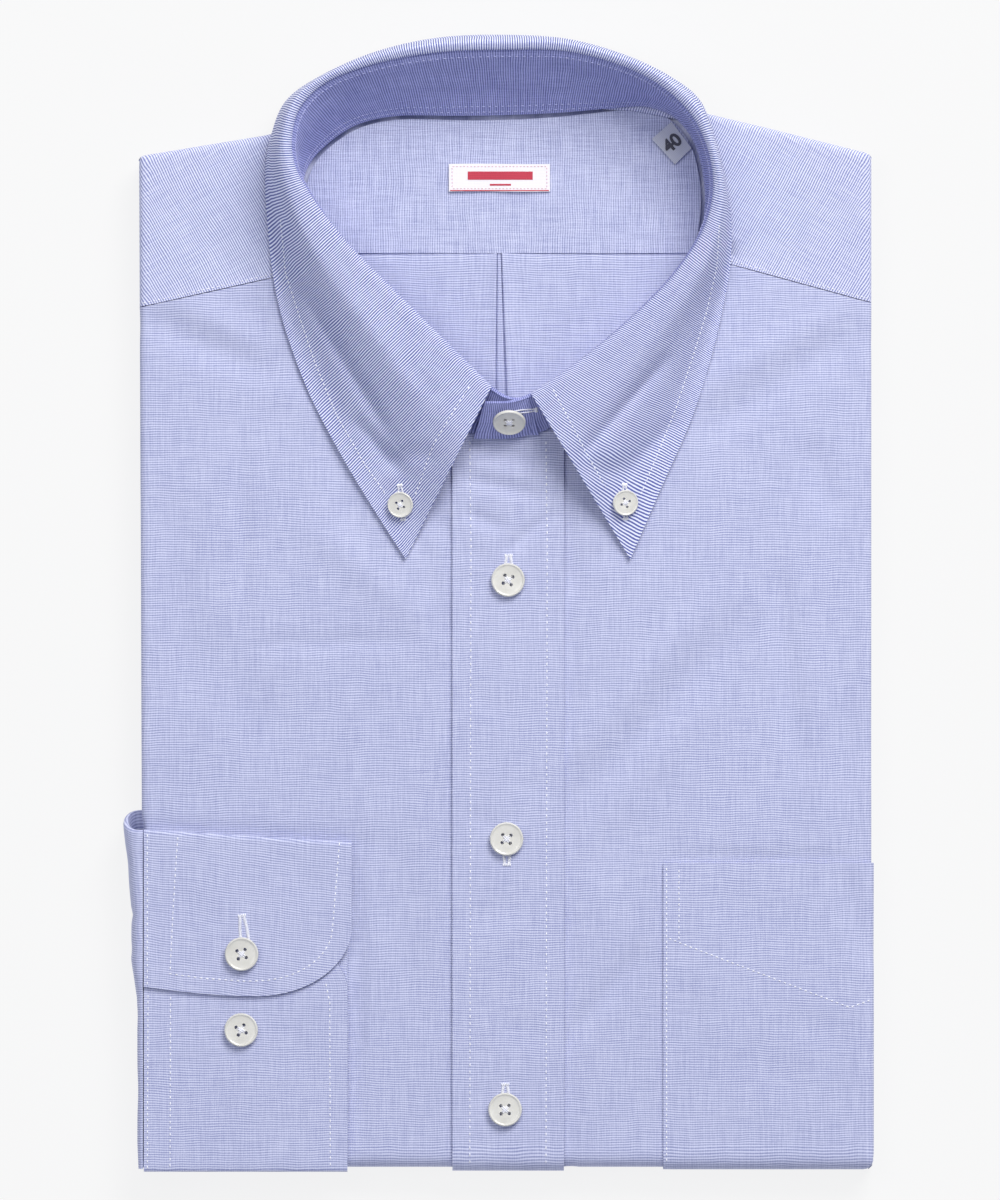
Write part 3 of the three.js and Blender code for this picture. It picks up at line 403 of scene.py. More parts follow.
# %% A little kit for node trees
def link(tree, value, socket):
    if hasattr(value, "is_output"):
        tree.links.new(value, socket)
    else:
        socket.default_value = value


def maths(tree, operation, first, second=0.0, third=0.0):
    node = tree.nodes.new("ShaderNodeMath")
    node.operation = operation
    for socket, value in zip(node.inputs, (first, second, third)):
        link(tree, value, socket)
    return node.outputs[0]


def times(tree, first, second):
    return maths(tree, "MULTIPLY", first, second)


def plus(tree, first, *more):
    for value in more:
        first = maths(tree, "ADD", first, value)
    return first


def stretched(tree, x, y, across, down):
    """Vector from two values, each with its own stretch."""
    node = tree.nodes.new("ShaderNodeCombineXYZ")
    link(tree, times(tree, x, across), node.inputs["X"])
    link(tree, times(tree, y, down), node.inputs["Y"])
    return node.outputs[0]


def noise(tree, vector, scale=1.0, detail=2.0):
    node = tree.nodes.new("ShaderNodeTexNoise")
    node.inputs["Scale"].default_value = scale
    node.inputs["Detail"].default_value = detail
    tree.links.new(vector, node.inputs["Vector"])
    return node.outputs["Fac"]


def blend(tree, mask, low, high):
    node = tree.nodes.new("ShaderNodeMix")
    node.data_type = "RGBA"
    link(tree, mask, node.inputs["Factor"])
    link(tree, (*low, 1), node.inputs["A"])
    link(tree, (*high, 1), node.inputs["B"])
    return node.outputs["Result"]


def bump(tree, shader, height, strength, distance):
    """Small relief on a shader, its distance in mm."""
    relief = tree.nodes.new("ShaderNodeBump")
    relief.inputs["Strength"].default_value = strength
    relief.inputs["Distance"].default_value = distance * MM
    tree.links.new(height, relief.inputs["Height"])
    tree.links.new(relief.outputs["Normal"], shader.inputs["Normal"])


def new_material(name, **values):
    """Material with its Principled shader's plain values set, such as Roughness."""
    material = bpy.data.materials.new(name)
    material.use_nodes = True
    shader = material.node_tree.nodes["Principled BSDF"]
    for socket, value in values.items():
        shader.inputs[socket.replace("_", " ")].default_value = value
    return material, material.node_tree, shader


def object_place(tree):
    return tree.nodes.new("ShaderNodeTexCoord").outputs["Object"]


# %% The weave, built once as a node group
def weave_group():
    tree = bpy.data.node_groups.new("woven threads", "ShaderNodeTree")
    face = tree.interface
    face.new_socket("Grain", in_out="INPUT", socket_type="NodeSocketVector")
    values = {"Thread pitch mm": 1.0, "Lines across": 0.2, "Lines along": 0.1, "Slubs": 0.3, "Clouds": 0.2}
    for name, start in values.items():
        face.new_socket(name, in_out="INPUT", socket_type="NodeSocketFloat").default_value = start
    face.new_socket("Pale thread", in_out="OUTPUT", socket_type="NodeSocketFloat")
    face.new_socket("Relief", in_out="OUTPUT", socket_type="NodeSocketFloat")
    start = tree.nodes.new("NodeGroupInput").outputs
    end = tree.nodes.new("NodeGroupOutput").inputs

    split = tree.nodes.new("ShaderNodeSeparateXYZ")
    tree.links.new(start["Grain"], split.inputs[0])
    weft = times(tree, split.outputs["X"], 1 / MM)
    warp = times(tree, split.outputs["Y"], 1 / MM)
    wander = maths(tree, "SUBTRACT", noise(tree, stretched(tree, weft, warp, 0.05, 0.05)), 0.5)
    wander = times(tree, wander, 2.2)

    def lines(place):
        turns = maths(tree, "DIVIDE", plus(tree, place, wander), start["Thread pitch mm"])
        return times(tree, maths(tree, "SINE", times(tree, turns, 2 * math.pi)), 0.5)

    def slub(across, down):
        place = stretched(tree, weft, warp, across, down)
        return maths(tree, "SUBTRACT", noise(tree, place, detail=1.0), 0.5)

    across = times(tree, lines(warp), start["Lines across"])
    down = times(tree, lines(weft), start["Lines along"])
    slubs = plus(tree, slub(1.5, 0.08), slub(0.09, 1.9), times(tree, slub(1.4, 1.7), 0.7))
    slubs = times(tree, slubs, start["Slubs"])
    clouds = times(tree, slub(0.03, 0.03), start["Clouds"])
    threads = plus(tree, across, down, slubs)
    mask = plus(tree, threads, clouds, 0.5)
    tree.links.new(maths(tree, "MAXIMUM", maths(tree, "MINIMUM", mask, 1.0), 0.0), end["Pale thread"])
    tree.links.new(threads, end["Relief"])
    return tree


weave = weave_group()

# %% Cloth materials
def woven(name, deep, pale, rough, pitch, across, down, slubs, clouds, **values):
    """Woven material in two colours. Its roughness is rough[0] times the mask, plus rough[1]."""
    material, tree, shader = new_material(name, **values)
    grain = tree.nodes.new("ShaderNodeUVMap")
    grain.uv_map = "grain"
    threads = tree.nodes.new("ShaderNodeGroup")
    threads.node_tree = weave
    tree.links.new(grain.outputs["UV"], threads.inputs["Grain"])
    chosen = {"Thread pitch mm": pitch, "Lines across": across, "Lines along": down,
              "Slubs": slubs, "Clouds": clouds}
    for socket, value in chosen.items():
        threads.inputs[socket].default_value = value
    mask = threads.outputs["Pale thread"]
    tree.links.new(blend(tree, mask, deep, pale), shader.inputs["Base Color"])
    tree.links.new(maths(tree, "MULTIPLY_ADD", mask, *rough), shader.inputs["Roughness"])
    return material, tree, shader, threads


def cloth_material(name, deep, pale, **weaving):
    material, tree, shader, threads = woven(
        name, deep, pale, (-0.12, 0.86), pitch=PITCH, **weaving,
        Sheen_Weight=0.12, Sheen_Roughness=0.5, Specular_IOR_Level=0.2)
    bump(tree, shader, threads.outputs["Relief"], 0.12, 0.15)
    return material


PITCH = 0.8
DEEP, PALE = (0.275, 0.30, 0.52), (0.685, 0.71, 0.905)
body_cloth = cloth_material("body poplin", DEEP, PALE, across=0.85, down=0.16, slubs=0.48, clouds=0.12)
yoke_cloth = cloth_material("yoke poplin", (0.23, 0.255, 0.50), (0.79, 0.81, 0.99),
                            across=1.1, down=0.15, slubs=0.45, clouds=0.15)
collar_cloth = cloth_material("collar poplin", (0.09, 0.11, 0.37), (0.80, 0.83, 1.0),
                              across=0.05, down=1.6, slubs=0.4, clouds=0.1)
# The stand is the body's poplin; its much darker colours paint the shade that falls on the band under the
# collar's crest.
painted_shade_band_cloth = cloth_material("band poplin with painted shade", (0.105, 0.118, 0.345), (0.51, 0.54, 0.90),
                            across=0.15, down=0.8, slubs=0.4, clouds=0.1)
inner_cloth = cloth_material("inner poplin", DEEP, PALE, across=0.2, down=0.7, slubs=0.7, clouds=0.15)
cloths = (body_cloth, yoke_cloth, collar_cloth, painted_shade_band_cloth, inner_cloth)
print("cloth materials:", [cloth.name for cloth in cloths])


def dress(piece, material, *nodes, slot="shirt_cloth"):
    """Give a finished piece its material and its body, and hide the frame nodes it stands for; slot is not
    used.
    """
    piece.data.materials.append(material)
    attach(piece, "root")
    if nodes:
        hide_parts(*nodes)
    return piece


# %% [markdown]
# The two fronts are cut from the body cloth and rolled round the side and bottom
# folds. Their columns run from under the hem up to the yoke seam, or to the neck seam
# where the collar starts, so the grid follows the real cut.

# %% The two fronts
FRONT_CREASES = [
    # left front
    (-124, 99, -74, 75, 5, 1.3), (-122, 108, -76, 86, 4.5, -0.7),
    (-88.1, 60, -86.4, -14, 2.4, 0.55), (-90, -14.3, -25, -12.6, 2.2, 0.75),
    (-70, 30, -22, -8, 6, -0.8), (-28, 46, -18, 20, 4, 1.0), (-24, 12, -19, -12, 4, 0.5),
    (-104, -8, -70, -52, 10, 0.7), (-40, -70, -26, -150, 9, 0.6), (-34, 30, -22, 12, 3, 0.5),
    (-60, 60, -46, 20, 5, 0.6), (-112, 40, -104, -40, 8, 0.6), (-100, 84, -58, 64, 6, -0.5),
    # right front
    (126, 95, 66, 57, 6, 1.3), (118, 101, 62, 69, 5, -0.9),
    (88, 0, 24, -72, 6, 1.2), (78, 8, 14, -64, 5.5, -0.9), (93.8, 18, 102.3, -62, 4, 1.0),
    (106, 56, 112, 28, 5, 1.1), (50, -116, 20, -153, 3.6, 1.1), (20.5, 30, 26, 0, 4, 0.9),
    (62, 20, 36, -30, 7, -0.7), (46, -70, 30, -96, 5, 0.6), (116, 0, 118, -70, 6, 0.5),
    (26, 12, 46, 22, 3, 0.6), (74, -30, 50, -60, 6, -0.5), (110, 84, 70, 66, 6, -0.5),
    # along the edges of the cuff, the placket and the pocket
    (-150, -75.3, -38, -82.3, 2.8, 1.25), (-48.2, -70, -48.2, -182, 2.0, 1.1),
    (24.2, 80, 24.2, -240, 1.8, 0.45), (52, -86.9, 122, -86.9, 1.6, 1.1),
]
PANEL_MEET_X = 3
HEM_PLACES = spread((HEM_FOLD - hem_wrap(1), HEM_FOLD, 24))


def neck_line(shares):
    return sorted((tuple(neck_seam(s)[:2]) for s in shares), key=lambda p: p[0])


left_neck = neck_line([LEFT_MEETING * s for s in steps(24)])
right_neck = neck_line([1 - (1 - RIGHT_MEETING) * s for s in steps(24)])


def front_top(side, x):
    neck = left_neck if side < 0 else right_neck
    seam = YOKE_SEAM_LEFT if side < 0 else YOKE_SEAM_RIGHT
    corner = neck[0][0] if side < 0 else neck[-1][0]
    if side * x >= side * corner:
        return along(seam, x)
    return along(neck, x) + UNDER_STAND


def draped_panel(name, xs, top_of, height, creases, flat_rows=110, bottom=HEM_PLACES, **look):
    """Cloth from under the hem up to a top line, its columns at the places xs."""
    face_shares = steps(flat_rows)[1:]
    ys = [list(bottom) + [mix(HEM_FOLD, top_of(x), s) for s in face_shares] for x in xs]

    def flat(i, j):
        return xs[i], ys[i][j]

    return cloth_grid(name, len(xs) - 1, len(ys[0]) - 1, creased(flat, height, creases), flat, **look)


def front_panel(name, side):
    fold = left_fold(0) if side < 0 else RIGHT_FOLD
    outer, meet = fold + side * side_wrap(1), PANEL_MEET_X + side * GAP / 2
    xs = sorted(spread((outer, fold, 12), (fold, meet, 60)))
    return draped_panel(name, xs, lambda x: front_top(side, x), FACE + CLOTH, FRONT_CREASES)


front_left = dress(front_panel("front_left_cloth", -1), body_cloth, "front_left")
front_right = dress(front_panel("front_right_cloth", 1), body_cloth, "front_right")

# %% [markdown]
# The placket is a separate strip over the meeting line. The stand above it pulls soft
# slanting bands into its top, which the table lists as shallow dents.

# %% The placket
PLACKET = {"left": -15.9, "right": 22.0, "top": 58.2}
PLACKET_CREASES = [
    (-15, 54, 15, 48, 2.6, 1.1), (-15, 43, 16, 36, 2.2, 0.9), (-13, 31, 3, 25, 2.2, 1.0),
    (1, 16, 20, 32, 2.2, 1.1), (-12, 48, 14, 42, 2.4, -0.4), (-13, -30, 6, -38, 4, 0.3),
    (4, -64, 18, -60, 3.4, 0.3), (-12, -108, 10, -103, 5, 0.3), (0, -142, 18, -150, 5, 0.3),
    (-14, 4, -6, 10, 3, 0.4), (-12, 20, -4, 12, 3, 0.4), (-12, -72, 0, -76, 3, 0.3),
]
placket_xs = spread((PLACKET["left"], PLACKET["right"], 28))
placket = draped_panel("placket_cloth", placket_xs, lambda x: PLACKET["top"], ON_FACE + CLOTH,
                       PLACKET_CREASES, flat_rows=150, thickness=0.9)
dress(placket, body_cloth, "placket")

# %% [markdown]
# The chest pocket is sewn on the wearer's left front and runs on round the side fold
# and the bottom fold. Only its folded top edge stands a little proud.

# %% The chest pocket
POCKET = {"left": 55.8, "top": -88.4}
POCKET_LIFT = ON_FACE + 0.55
POCKET_CREASES = [(70, -100, 104, -112, 6, 0.2), (78, -150, 110, -168, 8, 0.35),
                  (64, -128, 70, -160, 5, 0.3), (118, -90, 124, -124, 4, 0.6),
                  (96, -140, 120, -150, 6, 0.3)]
pocket_xs = spread((POCKET["left"], RIGHT_FOLD, 34), (RIGHT_FOLD, RIGHT_FOLD + side_wrap(1), 12))
pocket = draped_panel("pocket_cloth", pocket_xs, lambda x: POCKET["top"], POCKET_LIFT,
                      POCKET_CREASES, flat_rows=50)
dress(pocket, body_cloth, "pocket")

# %% [markdown]
# The outer yoke goes from one front seam over the shoulders to the other. Its cloth is
# cut on a slant, so its lines run steeply, and mirror each other across the back.

# %% The outer yoke
YOKE_SLANT = math.radians(30)
YOKE_TOP_X = {"left": -75.5, "right": 79}
BACK_OF_NECK = (9 / LAST_STATION, 17 / LAST_STATION)
YOKE_CREASES = [
    (-97, 124, -88, 108, 3.0, 0.55), (-88, 119, -81, 108, 2.4, 0.5), (-112, 136, -96, 118, 6, 0.3),
    (91, 131, 85, 112, 2.6, 0.5), (104, 134, 99, 112, 5, 0.3), (84, 148, 92, 132, 5, 0.3),
    (-90, 148, -84, 132, 5, 0.3), (114, 146, 112, 120, 5, 0.2),
]


def shoulder_x(share, low_x):
    start, end = BACK_OF_NECK
    if share < start:
        inward = (share - LEFT_MEETING) / (start - LEFT_MEETING)
        return mix(YOKE_TOP_X["left"], neck_seam(start).x, inward)
    if share > end:
        inward = (RIGHT_MEETING - share) / (RIGHT_MEETING - end)
        return mix(YOKE_TOP_X["right"], neck_seam(end).x, inward)
    return low_x


def yoke_columns():
    """Low point and shoulder x of each column of the yoke, from left to right."""
    wrap = side_wrap(1)
    left_side = left_fold(SHOULDER_Y)
    columns = [(x, along(YOKE_SEAM_LEFT, x) + GAP, x) for x in
               spread((left_side - wrap, left_side, 10), (left_side, -80, 18))]
    for share in [mix(LEFT_MEETING, RIGHT_MEETING, s) for s in steps(80)]:
        low = neck_seam(share)
        columns.append((low.x, low.y, shoulder_x(share, low.x)))
    columns += [(x, along(YOKE_SEAM_RIGHT, x) + GAP, x) for x in
                spread((84, RIGHT_FOLD, 18), (RIGHT_FOLD, RIGHT_FOLD + wrap, 10))]
    return columns


def outer_yoke():
    columns = yoke_columns()
    face, wrap = steps(26), steps(10)[1:]

    def flat(i, j):
        low_x, low_y, high_x = columns[i]
        fold = shoulder_fold(high_x)
        if j < len(face):
            return mix(low_x, high_x, face[j]), mix(low_y, fold, face[j])
        return high_x, fold + side_wrap(wrap[j - len(face)])

    def grain(i, j):
        x, y = flat(i, j)
        side = 1 if x < 0 else -1
        return (y * math.cos(YOKE_SLANT) - side * x * math.sin(YOKE_SLANT),
                side * x * math.cos(YOKE_SLANT) + y * math.sin(YOKE_SLANT))

    rows = len(face) + len(wrap) - 1
    place = creased(flat, FACE + CLOTH, YOKE_CREASES)
    return cloth_grid("yoke_outer_cloth", len(columns) - 1, rows, place, grain)


yoke_outer = dress(outer_yoke(), yoke_cloth, "yoke_outer")

# %% [markdown]
# Through the neck we see the inside of the shirt: the inner yoke, with its threads
# upright, and below its seam the back, which opens from a box pleat. The pleat's lips
# are raised, part towards the hem and show the under layer between them.

# %% Inside the neck
INNER_SEAM_Y = 118.7
INNER_SEAM_X = {"left": -62.5, "right": 65.6}
INNER_SHARES = (0.187, 0.822)
INNER_CLEAR = 1.9
INNER_CREASES = [
    (-44, 150, -20, 128, 7, 0.3), (24, 132, 50, 146, 6, 0.3), (-30, 160, 6, 157, 4, 0.3),
    (40, 126, 60, 138, 4, 0.3), (-56, 128, -46, 140, 4, 0.3), (2, 130, 34, 126, 5, 0.2),
]


def inner_yoke():
    across, down = 70, 26
    columns = []
    for share in steps(across):
        high = inside_seam(mix(*INNER_SHARES, share), INNER_CLEAR)
        high.y = max(high.y, INNER_SEAM_Y + 2)
        low_x = mix(INNER_SEAM_X["left"], INNER_SEAM_X["right"], share)
        columns.append((low_x, INNER_SEAM_Y + GAP, high.x, high.y))

    def flat(i, j):
        low_x, low_y, high_x, high_y = columns[i]
        return mix(low_x, high_x, j / down), mix(low_y, high_y, j / down)

    place = creased(flat, FACE + CLOTH, INNER_CREASES, over=laid)
    return cloth_grid("yoke_inner_cloth", across, down, place, flat, thickness=0.8)


PLEAT = [(-60, 0), (-30, 0), (-21.6, 0.02), (-20.4, 0.2), (-12, 0.1), (-5.2, 0.3), (-3.2, 0.55),
         (-1.9, 0.6), (-1.6, 0.5), (-1.3, -1.0), (-1.0, -1.0), (-0.8, 0.0), (0.9, 0.15), (2.1, 0.2),
         (2.4, -0.9), (2.8, -0.9), (3.1, 0.5), (3.8, 0.7), (5.0, 0.6), (8, 0.3), (14, 0.05), (32, 0), (64, 0)]
PLEAT_TOP_X = -0.4
PLEAT_CLOSED = 0.34
PLEAT_REACH, PLEAT_FADE = 9, 4
PLEAT_STEP = 1.5
TUCKED = {"depth": 0.7, "over": 1.2}
BACK_LOW_Y = 62.5
BACK_CLEAR = INNER_CLEAR + 0.8
quarters = [s * 0.25 for s in steps(200)]
front_seam_places = [neck_seam(s) for s in quarters] + [neck_seam(1 - s) for s in quarters]


def front_seam_y(x):
    return min(front_seam_places, key=lambda p: abs(p.x - x)).y


def back_panel():
    down = 30
    xs = []
    for (x0, _), (x1, _) in zip(PLEAT, PLEAT[1:]):
        count = max(2, round((x1 - x0) / PLEAT_STEP))
        xs += [mix(x0, x1, s / count) for s in range(count)]
    xs.append(PLEAT[-1][0])

    def flat(i, j):
        x, share = xs[i], j / down
        low = clamp(front_seam_y(x) + BACK_CLEAR, BACK_LOW_Y, INNER_SEAM_Y - 1)
        near = clamp((PLEAT_REACH - abs(x)) / PLEAT_FADE)
        shown = PLEAT_TOP_X + (x - PLEAT_TOP_X) * mix(1, PLEAT_CLOSED, share * near)
        return shown, mix(low, INNER_SEAM_Y + 1, share)

    def place(i, j):
        x, y = flat(i, j)
        tucked = TUCKED["depth"] * clamp((y - INNER_SEAM_Y + 1) / TUCKED["over"])
        return laid(x, y, FACE + CLOTH - 0.2 + along(PLEAT, xs[i]) - tucked)

    def grain(i, j):
        return xs[i], flat(i, j)[1]

    return cloth_grid("back_panel_cloth", len(xs) - 1, down, place, grain, thickness=0.5)


yoke_inner = dress(inner_yoke(), inner_cloth, "yoke_inner")
back_panel = dress(back_panel(), body_cloth, "back_panel")

# %% [markdown]
# The collar stand is the band that carries the leaf. It leans outwards round the back,
# and its two free ends cross over the placket, one on the other, under the button.

# %% The collar stand
STAND_CLOTH = 1.4
STAND_BELOW_CREST = 2.1
HEAD_INSIDE_CREST = 0.75
STAND_BULGE = 0.8
STAND_STEP = STAND_CLOTH + GAP + 0.1
SEAM_CLEAR = ON_FACE + CLOTH + GAP + 0.1
FRONT_END = {"foot_y": 57.4, "head_y": 69.4, "head_z": 28.4, "foot_lift": 0.6, "taper": 3.5, "settle": 1.6}
UNDER_END_X = 13.5
OVER_END_X = -8.6
ROUND_STEPS, END_STEPS, RISE_STEPS = 150, 14, 16
TUCK = 1.2
BAND_WRINKLES = [
    # share round the neck, rise, width in share, width in rise, depth inwards
    (0.62, 0.55, 0.035, 0.12, 0.7), (0.56, 0.62, 0.03, 0.08, -0.5), (0.45, 0.5, 0.05, 0.1, 0.4),
    (0.36, 0.6, 0.03, 0.14, 0.5), (0.3, 0.45, 0.02, 0.2, -0.5), (0.68, 0.35, 0.02, 0.2, -0.4),
    (0.51, 0.3, 0.05, 0.08, -0.3), (0.4, 0.25, 0.04, 0.08, 0.35),
]


def stand_point(share, rise):
    base = neck_seam(share)
    foot = Vector((base.x, base.y, stack_top(base.x, base.y) + SEAM_CLEAR))
    roll, edge = station(collar_roll, share), station(collar_edge, share)
    head = Vector((roll.x, roll.y, roll.z - STAND_BELOW_CREST))
    out = Vector((edge.x - head.x, edge.y - head.y, 0)).normalized()
    head -= out * HEAD_INSIDE_CREST
    tuck = TUCK * clamp((rise - 0.93) / 0.07)
    bulge = STAND_BULGE * math.sin(math.pi * rise)
    for at, up, wide, high, depth in BAND_WRINKLES:
        bulge -= depth * math.exp(-(((share - at) / wide) ** 2) - ((rise - up) / high) ** 2)
    return foot.lerp(head, rise) + out * (bulge + tuck)


def stand_end(from_share, to_x, lift, share, rise):
    end = FRONT_END
    start = stand_point(from_share, rise)
    settled = math.sin(min(1, share * end["settle"]) * math.pi / 2)
    x = mix(start.x, to_x - math.copysign(1, to_x) * rise * end["taper"], share)
    y = mix(start.y, mix(end["foot_y"], end["head_y"], rise), settled)
    foot_z = stack_top(x, y) + SEAM_CLEAR + end["foot_lift"]
    z = mix(start.z, mix(foot_z, end["head_z"], rise), settled)
    out = lift * settled * math.sqrt(0.5)
    return Vector((x, y - out, z + out))


def stand_place(i, j):
    rise = j / RISE_STEPS
    at = i - END_STEPS
    if at < 0:
        return stand_end(0, UNDER_END_X, 0, -at / END_STEPS, rise)
    if at > ROUND_STEPS:
        return stand_end(1, OVER_END_X, STAND_STEP, (at - ROUND_STEPS) / END_STEPS, rise)
    return stand_point(at / ROUND_STEPS, rise)


def lengths_along(points):
    total, lengths = 0, [0]
    for a, b in zip(points, points[1:]):
        total += (b - a).length
        lengths.append(total)
    return lengths


stand_columns = ROUND_STEPS + 2 * END_STEPS
stand_length = lengths_along([stand_place(i, RISE_STEPS // 2) for i in range(stand_columns + 1)])
STAND_HEIGHT = 32
collar_stand = cloth_grid("collar_stand_cloth", stand_columns, RISE_STEPS, stand_place,
                          lambda i, j: (stand_length[i], STAND_HEIGHT * j / RISE_STEPS),
                          thickness=1.1, offset=0)
# The stand's darker poplin is painted shade.
dress(collar_stand, painted_shade_band_cloth, "collar_stand")
print("collar stand along its middle, mm:", round(stand_length[-1]))

# %% [markdown]
# The leaf folds over the top of the stand and falls to its edge. Its threads run
# across it, square to the roll, and the front edges cut them on a slant, so the UV map
# leans towards the points. Long soft troughs run down both leaves towards the buttons.

# %% The collar leaf
CREST_HALF = 2.2
LEAF_FOOT = {"out": 2.2, "down": 3.2}
LEAF_NECK = {"out": 0.3, "down": 1.2}
NARROW_LEAF = 0.45
LEAF_FALL = (0.1, 0.2, 0.3, 0.4, 0.5, 0.6, 0.7, 0.8, 0.9, 1)
PUFF = {"start": 0.22, "length": 0.7}
CREASED_FROM = 0.2
LEAF_STEPS, FALL_STEPS = 220, 56
LEAF_SLANT = 25
SLANT_STATIONS = 4.5
LEAF_CREASES = [
    (-69, 110, -35, 54, 2.3, 2.2), (-54, 108, -26, 68, 4.5, -0.7), (-60, 82, -42, 54, 3.0, -0.3),
    (-50, 64, -31, 42, 2.6, 1.5), (-22, 76, -26, 46, 4, 0.6), (-76, 128, -68, 98, 3, 0.7),
    (-36, 86, -18, 68, 3, 0.6), (-24, 60, -30, 44, 2.6, -0.5), (-74, 171, -64, 160, 1.6, 0.8),
    (-44, 47, -22, 52, 3.4, 1.2), (59, 86, 26, 48, 2.3, 2.2), (50, 64, 32, 42, 3.2, -0.6),
    (68, 96, 50, 60, 3.4, -0.6), (62, 64, 42, 44, 2.6, 1.3), (28, 66, 30, 44, 3.2, 0.5),
    (75, 122, 66, 96, 3, 0.7), (74, 112, 44, 64, 6, 1.2), (44, 88, 26, 70, 3, 0.6),
    (34, 62, 38, 46, 2.4, -0.4), (24, 46, 50, 44, 3.4, 1.1),
]


def leaf_row(share):
    roll, edge = station(collar_roll, share), station(collar_edge, share)
    outward = Vector((edge.x - roll.x, edge.y - roll.y, 0)).normalized()
    foot, neck = [roll + outward * at["out"] - Vector((0, 0, at["down"])) for at in (LEAF_FOOT, LEAF_NECK)]
    level_edge = Vector((edge.x, edge.y, roll.z))
    crest = roll + outward * min(CREST_HALF, NARROW_LEAF * (roll - level_edge).length)
    lie = station(collar_lie, share)
    row = [foot, neck, crest]
    for t in LEAF_FALL:
        planned = mix(math.sin(t * math.pi / 2), t, lie)
        hanging = math.cos(t * math.pi / 2)
        fallen = clamp((t - PUFF["start"]) / PUFF["length"])
        lying = 1 - fallen * fallen * (3 - 2 * fallen)
        point = crest.lerp(edge, planned)
        point.z = mix(edge.z, crest.z, mix(hanging, lying, lie))
        row.append(point)
    return row


def leaf_at(row, share):
    return smooth_through(row, share * (len(row) - 1))


leaf_rows = [leaf_row(s) for s in steps(LEAF_STEPS)]
roll_lengths = lengths_along([row[2] for row in leaf_rows])
fall_lengths = [lengths_along([leaf_at(row, s) for s in steps(FALL_STEPS)]) for row in leaf_rows]


def leaf_place(i, j):
    share = j / FALL_STEPS
    point = leaf_at(leaf_rows[i], share)
    creased = clamp((share - CREASED_FROM) / CREASED_FROM)
    point.z -= crease_depth(LEAF_CREASES, point.x, point.y) * creased
    return point


def leaf_grain(i, j):
    at = i / LEAF_STEPS * LAST_STATION
    lean = clamp(1 - at / SLANT_STATIONS) - clamp(1 - (LAST_STATION - at) / SLANT_STATIONS)
    return roll_lengths[i] - LEAF_SLANT * lean * j / FALL_STEPS, fall_lengths[i][j]


collar_leaf = cloth_grid("collar_leaf_cloth", LEAF_STEPS, FALL_STEPS, leaf_place, leaf_grain,
                         thickness=0.9, offset=0)
dress(collar_leaf, collar_cloth, "collar_leaf")
print("leaf along its roll, mm:", round(roll_lengths[-1]))

# %% [markdown]
# The barrel cuff is one strip. It starts at its curved overlap end, turns over the top
# fold, runs down behind, turns round the bottom fold and ends under the overlap.

# %% The barrel cuff
CUFF = {"left": -120.8, "right": -50.2, "corner_x": -82.6, "corner_y": -110,
        "end_y": -133.6, "left_end_y": -130.4}
CUFF_ROWS = {"over": 24, "turn": 10, "back": 30, "fold": 8, "under": 34}
CUFF_TOP = {"left": -76.9, "right": -81.2}
CUFF_BOTTOM = -193.4
CUFF_UNDER_TOP = -99
CUFF_UNDER_RIGHT = -51.6
UNDER_CORNER = {"low": -132, "rise": 12, "cut": 5.4}
CUFF_LAYER = 0.9
CUFF_CREASES = [(-112, -96, -96, -112, 5, 0.2), (-74, -88, -60, -100, 5, 0.22),
                (-104, -150, -92, -176, 6, 0.2), (-72, -140, -62, -170, 6, 0.2)]


def cuff_end_y(x):
    if x < CUFF["corner_x"]:
        share = (x - CUFF["left"]) / (CUFF["corner_x"] - CUFF["left"])
        return mix(CUFF["left_end_y"], CUFF["end_y"], math.sin(share * math.pi / 2))
    across = (x - CUFF["corner_x"]) / (CUFF["right"] - CUFF["corner_x"])
    return CUFF["corner_y"] + (CUFF["end_y"] - CUFF["corner_y"]) * math.sqrt(max(0, 1 - across**2))


def cuff_strip(x):
    """Points (y, height) of the strip at one place across it, from overlap end to underlap end."""
    half, rows = CLOTH / 2, CUFF_ROWS
    over, under, back = CUFF_OVER + half, CUFF_UNDER + half, CUFF_BACK + half
    across = (x - CUFF["left"]) / (CUFF["right"] - CUFF["left"])
    top = mix(CUFF_TOP["left"], CUFF_TOP["right"], across) - half
    end = cuff_end_y(x)
    strip = [(mix(end, top - (over - back) / 2, s), over) for s in steps(rows["over"])]
    radius = (over - back) / 2
    for s in steps(rows["turn"])[1:]:
        turn = math.pi * s
        out, level = along(TURN_OUT, turn), along(TURN_LEVEL, turn)
        strip.append((top - radius + radius * out, back + radius + radius * level))
    low = CUFF_BOTTOM + half
    radius = (under - back) / 2
    strip += [(mix(top - 2, low + radius, s), back) for s in steps(rows["back"])[1:]]
    for s in steps(rows["fold"])[1:]:
        turn = math.pi * s
        strip.append((low + radius - radius * math.sin(turn), back + radius - radius * math.cos(turn)))
    strip += [(mix(low + radius, CUFF_UNDER_TOP, s), under) for s in steps(rows["under"])[1:]]
    return strip


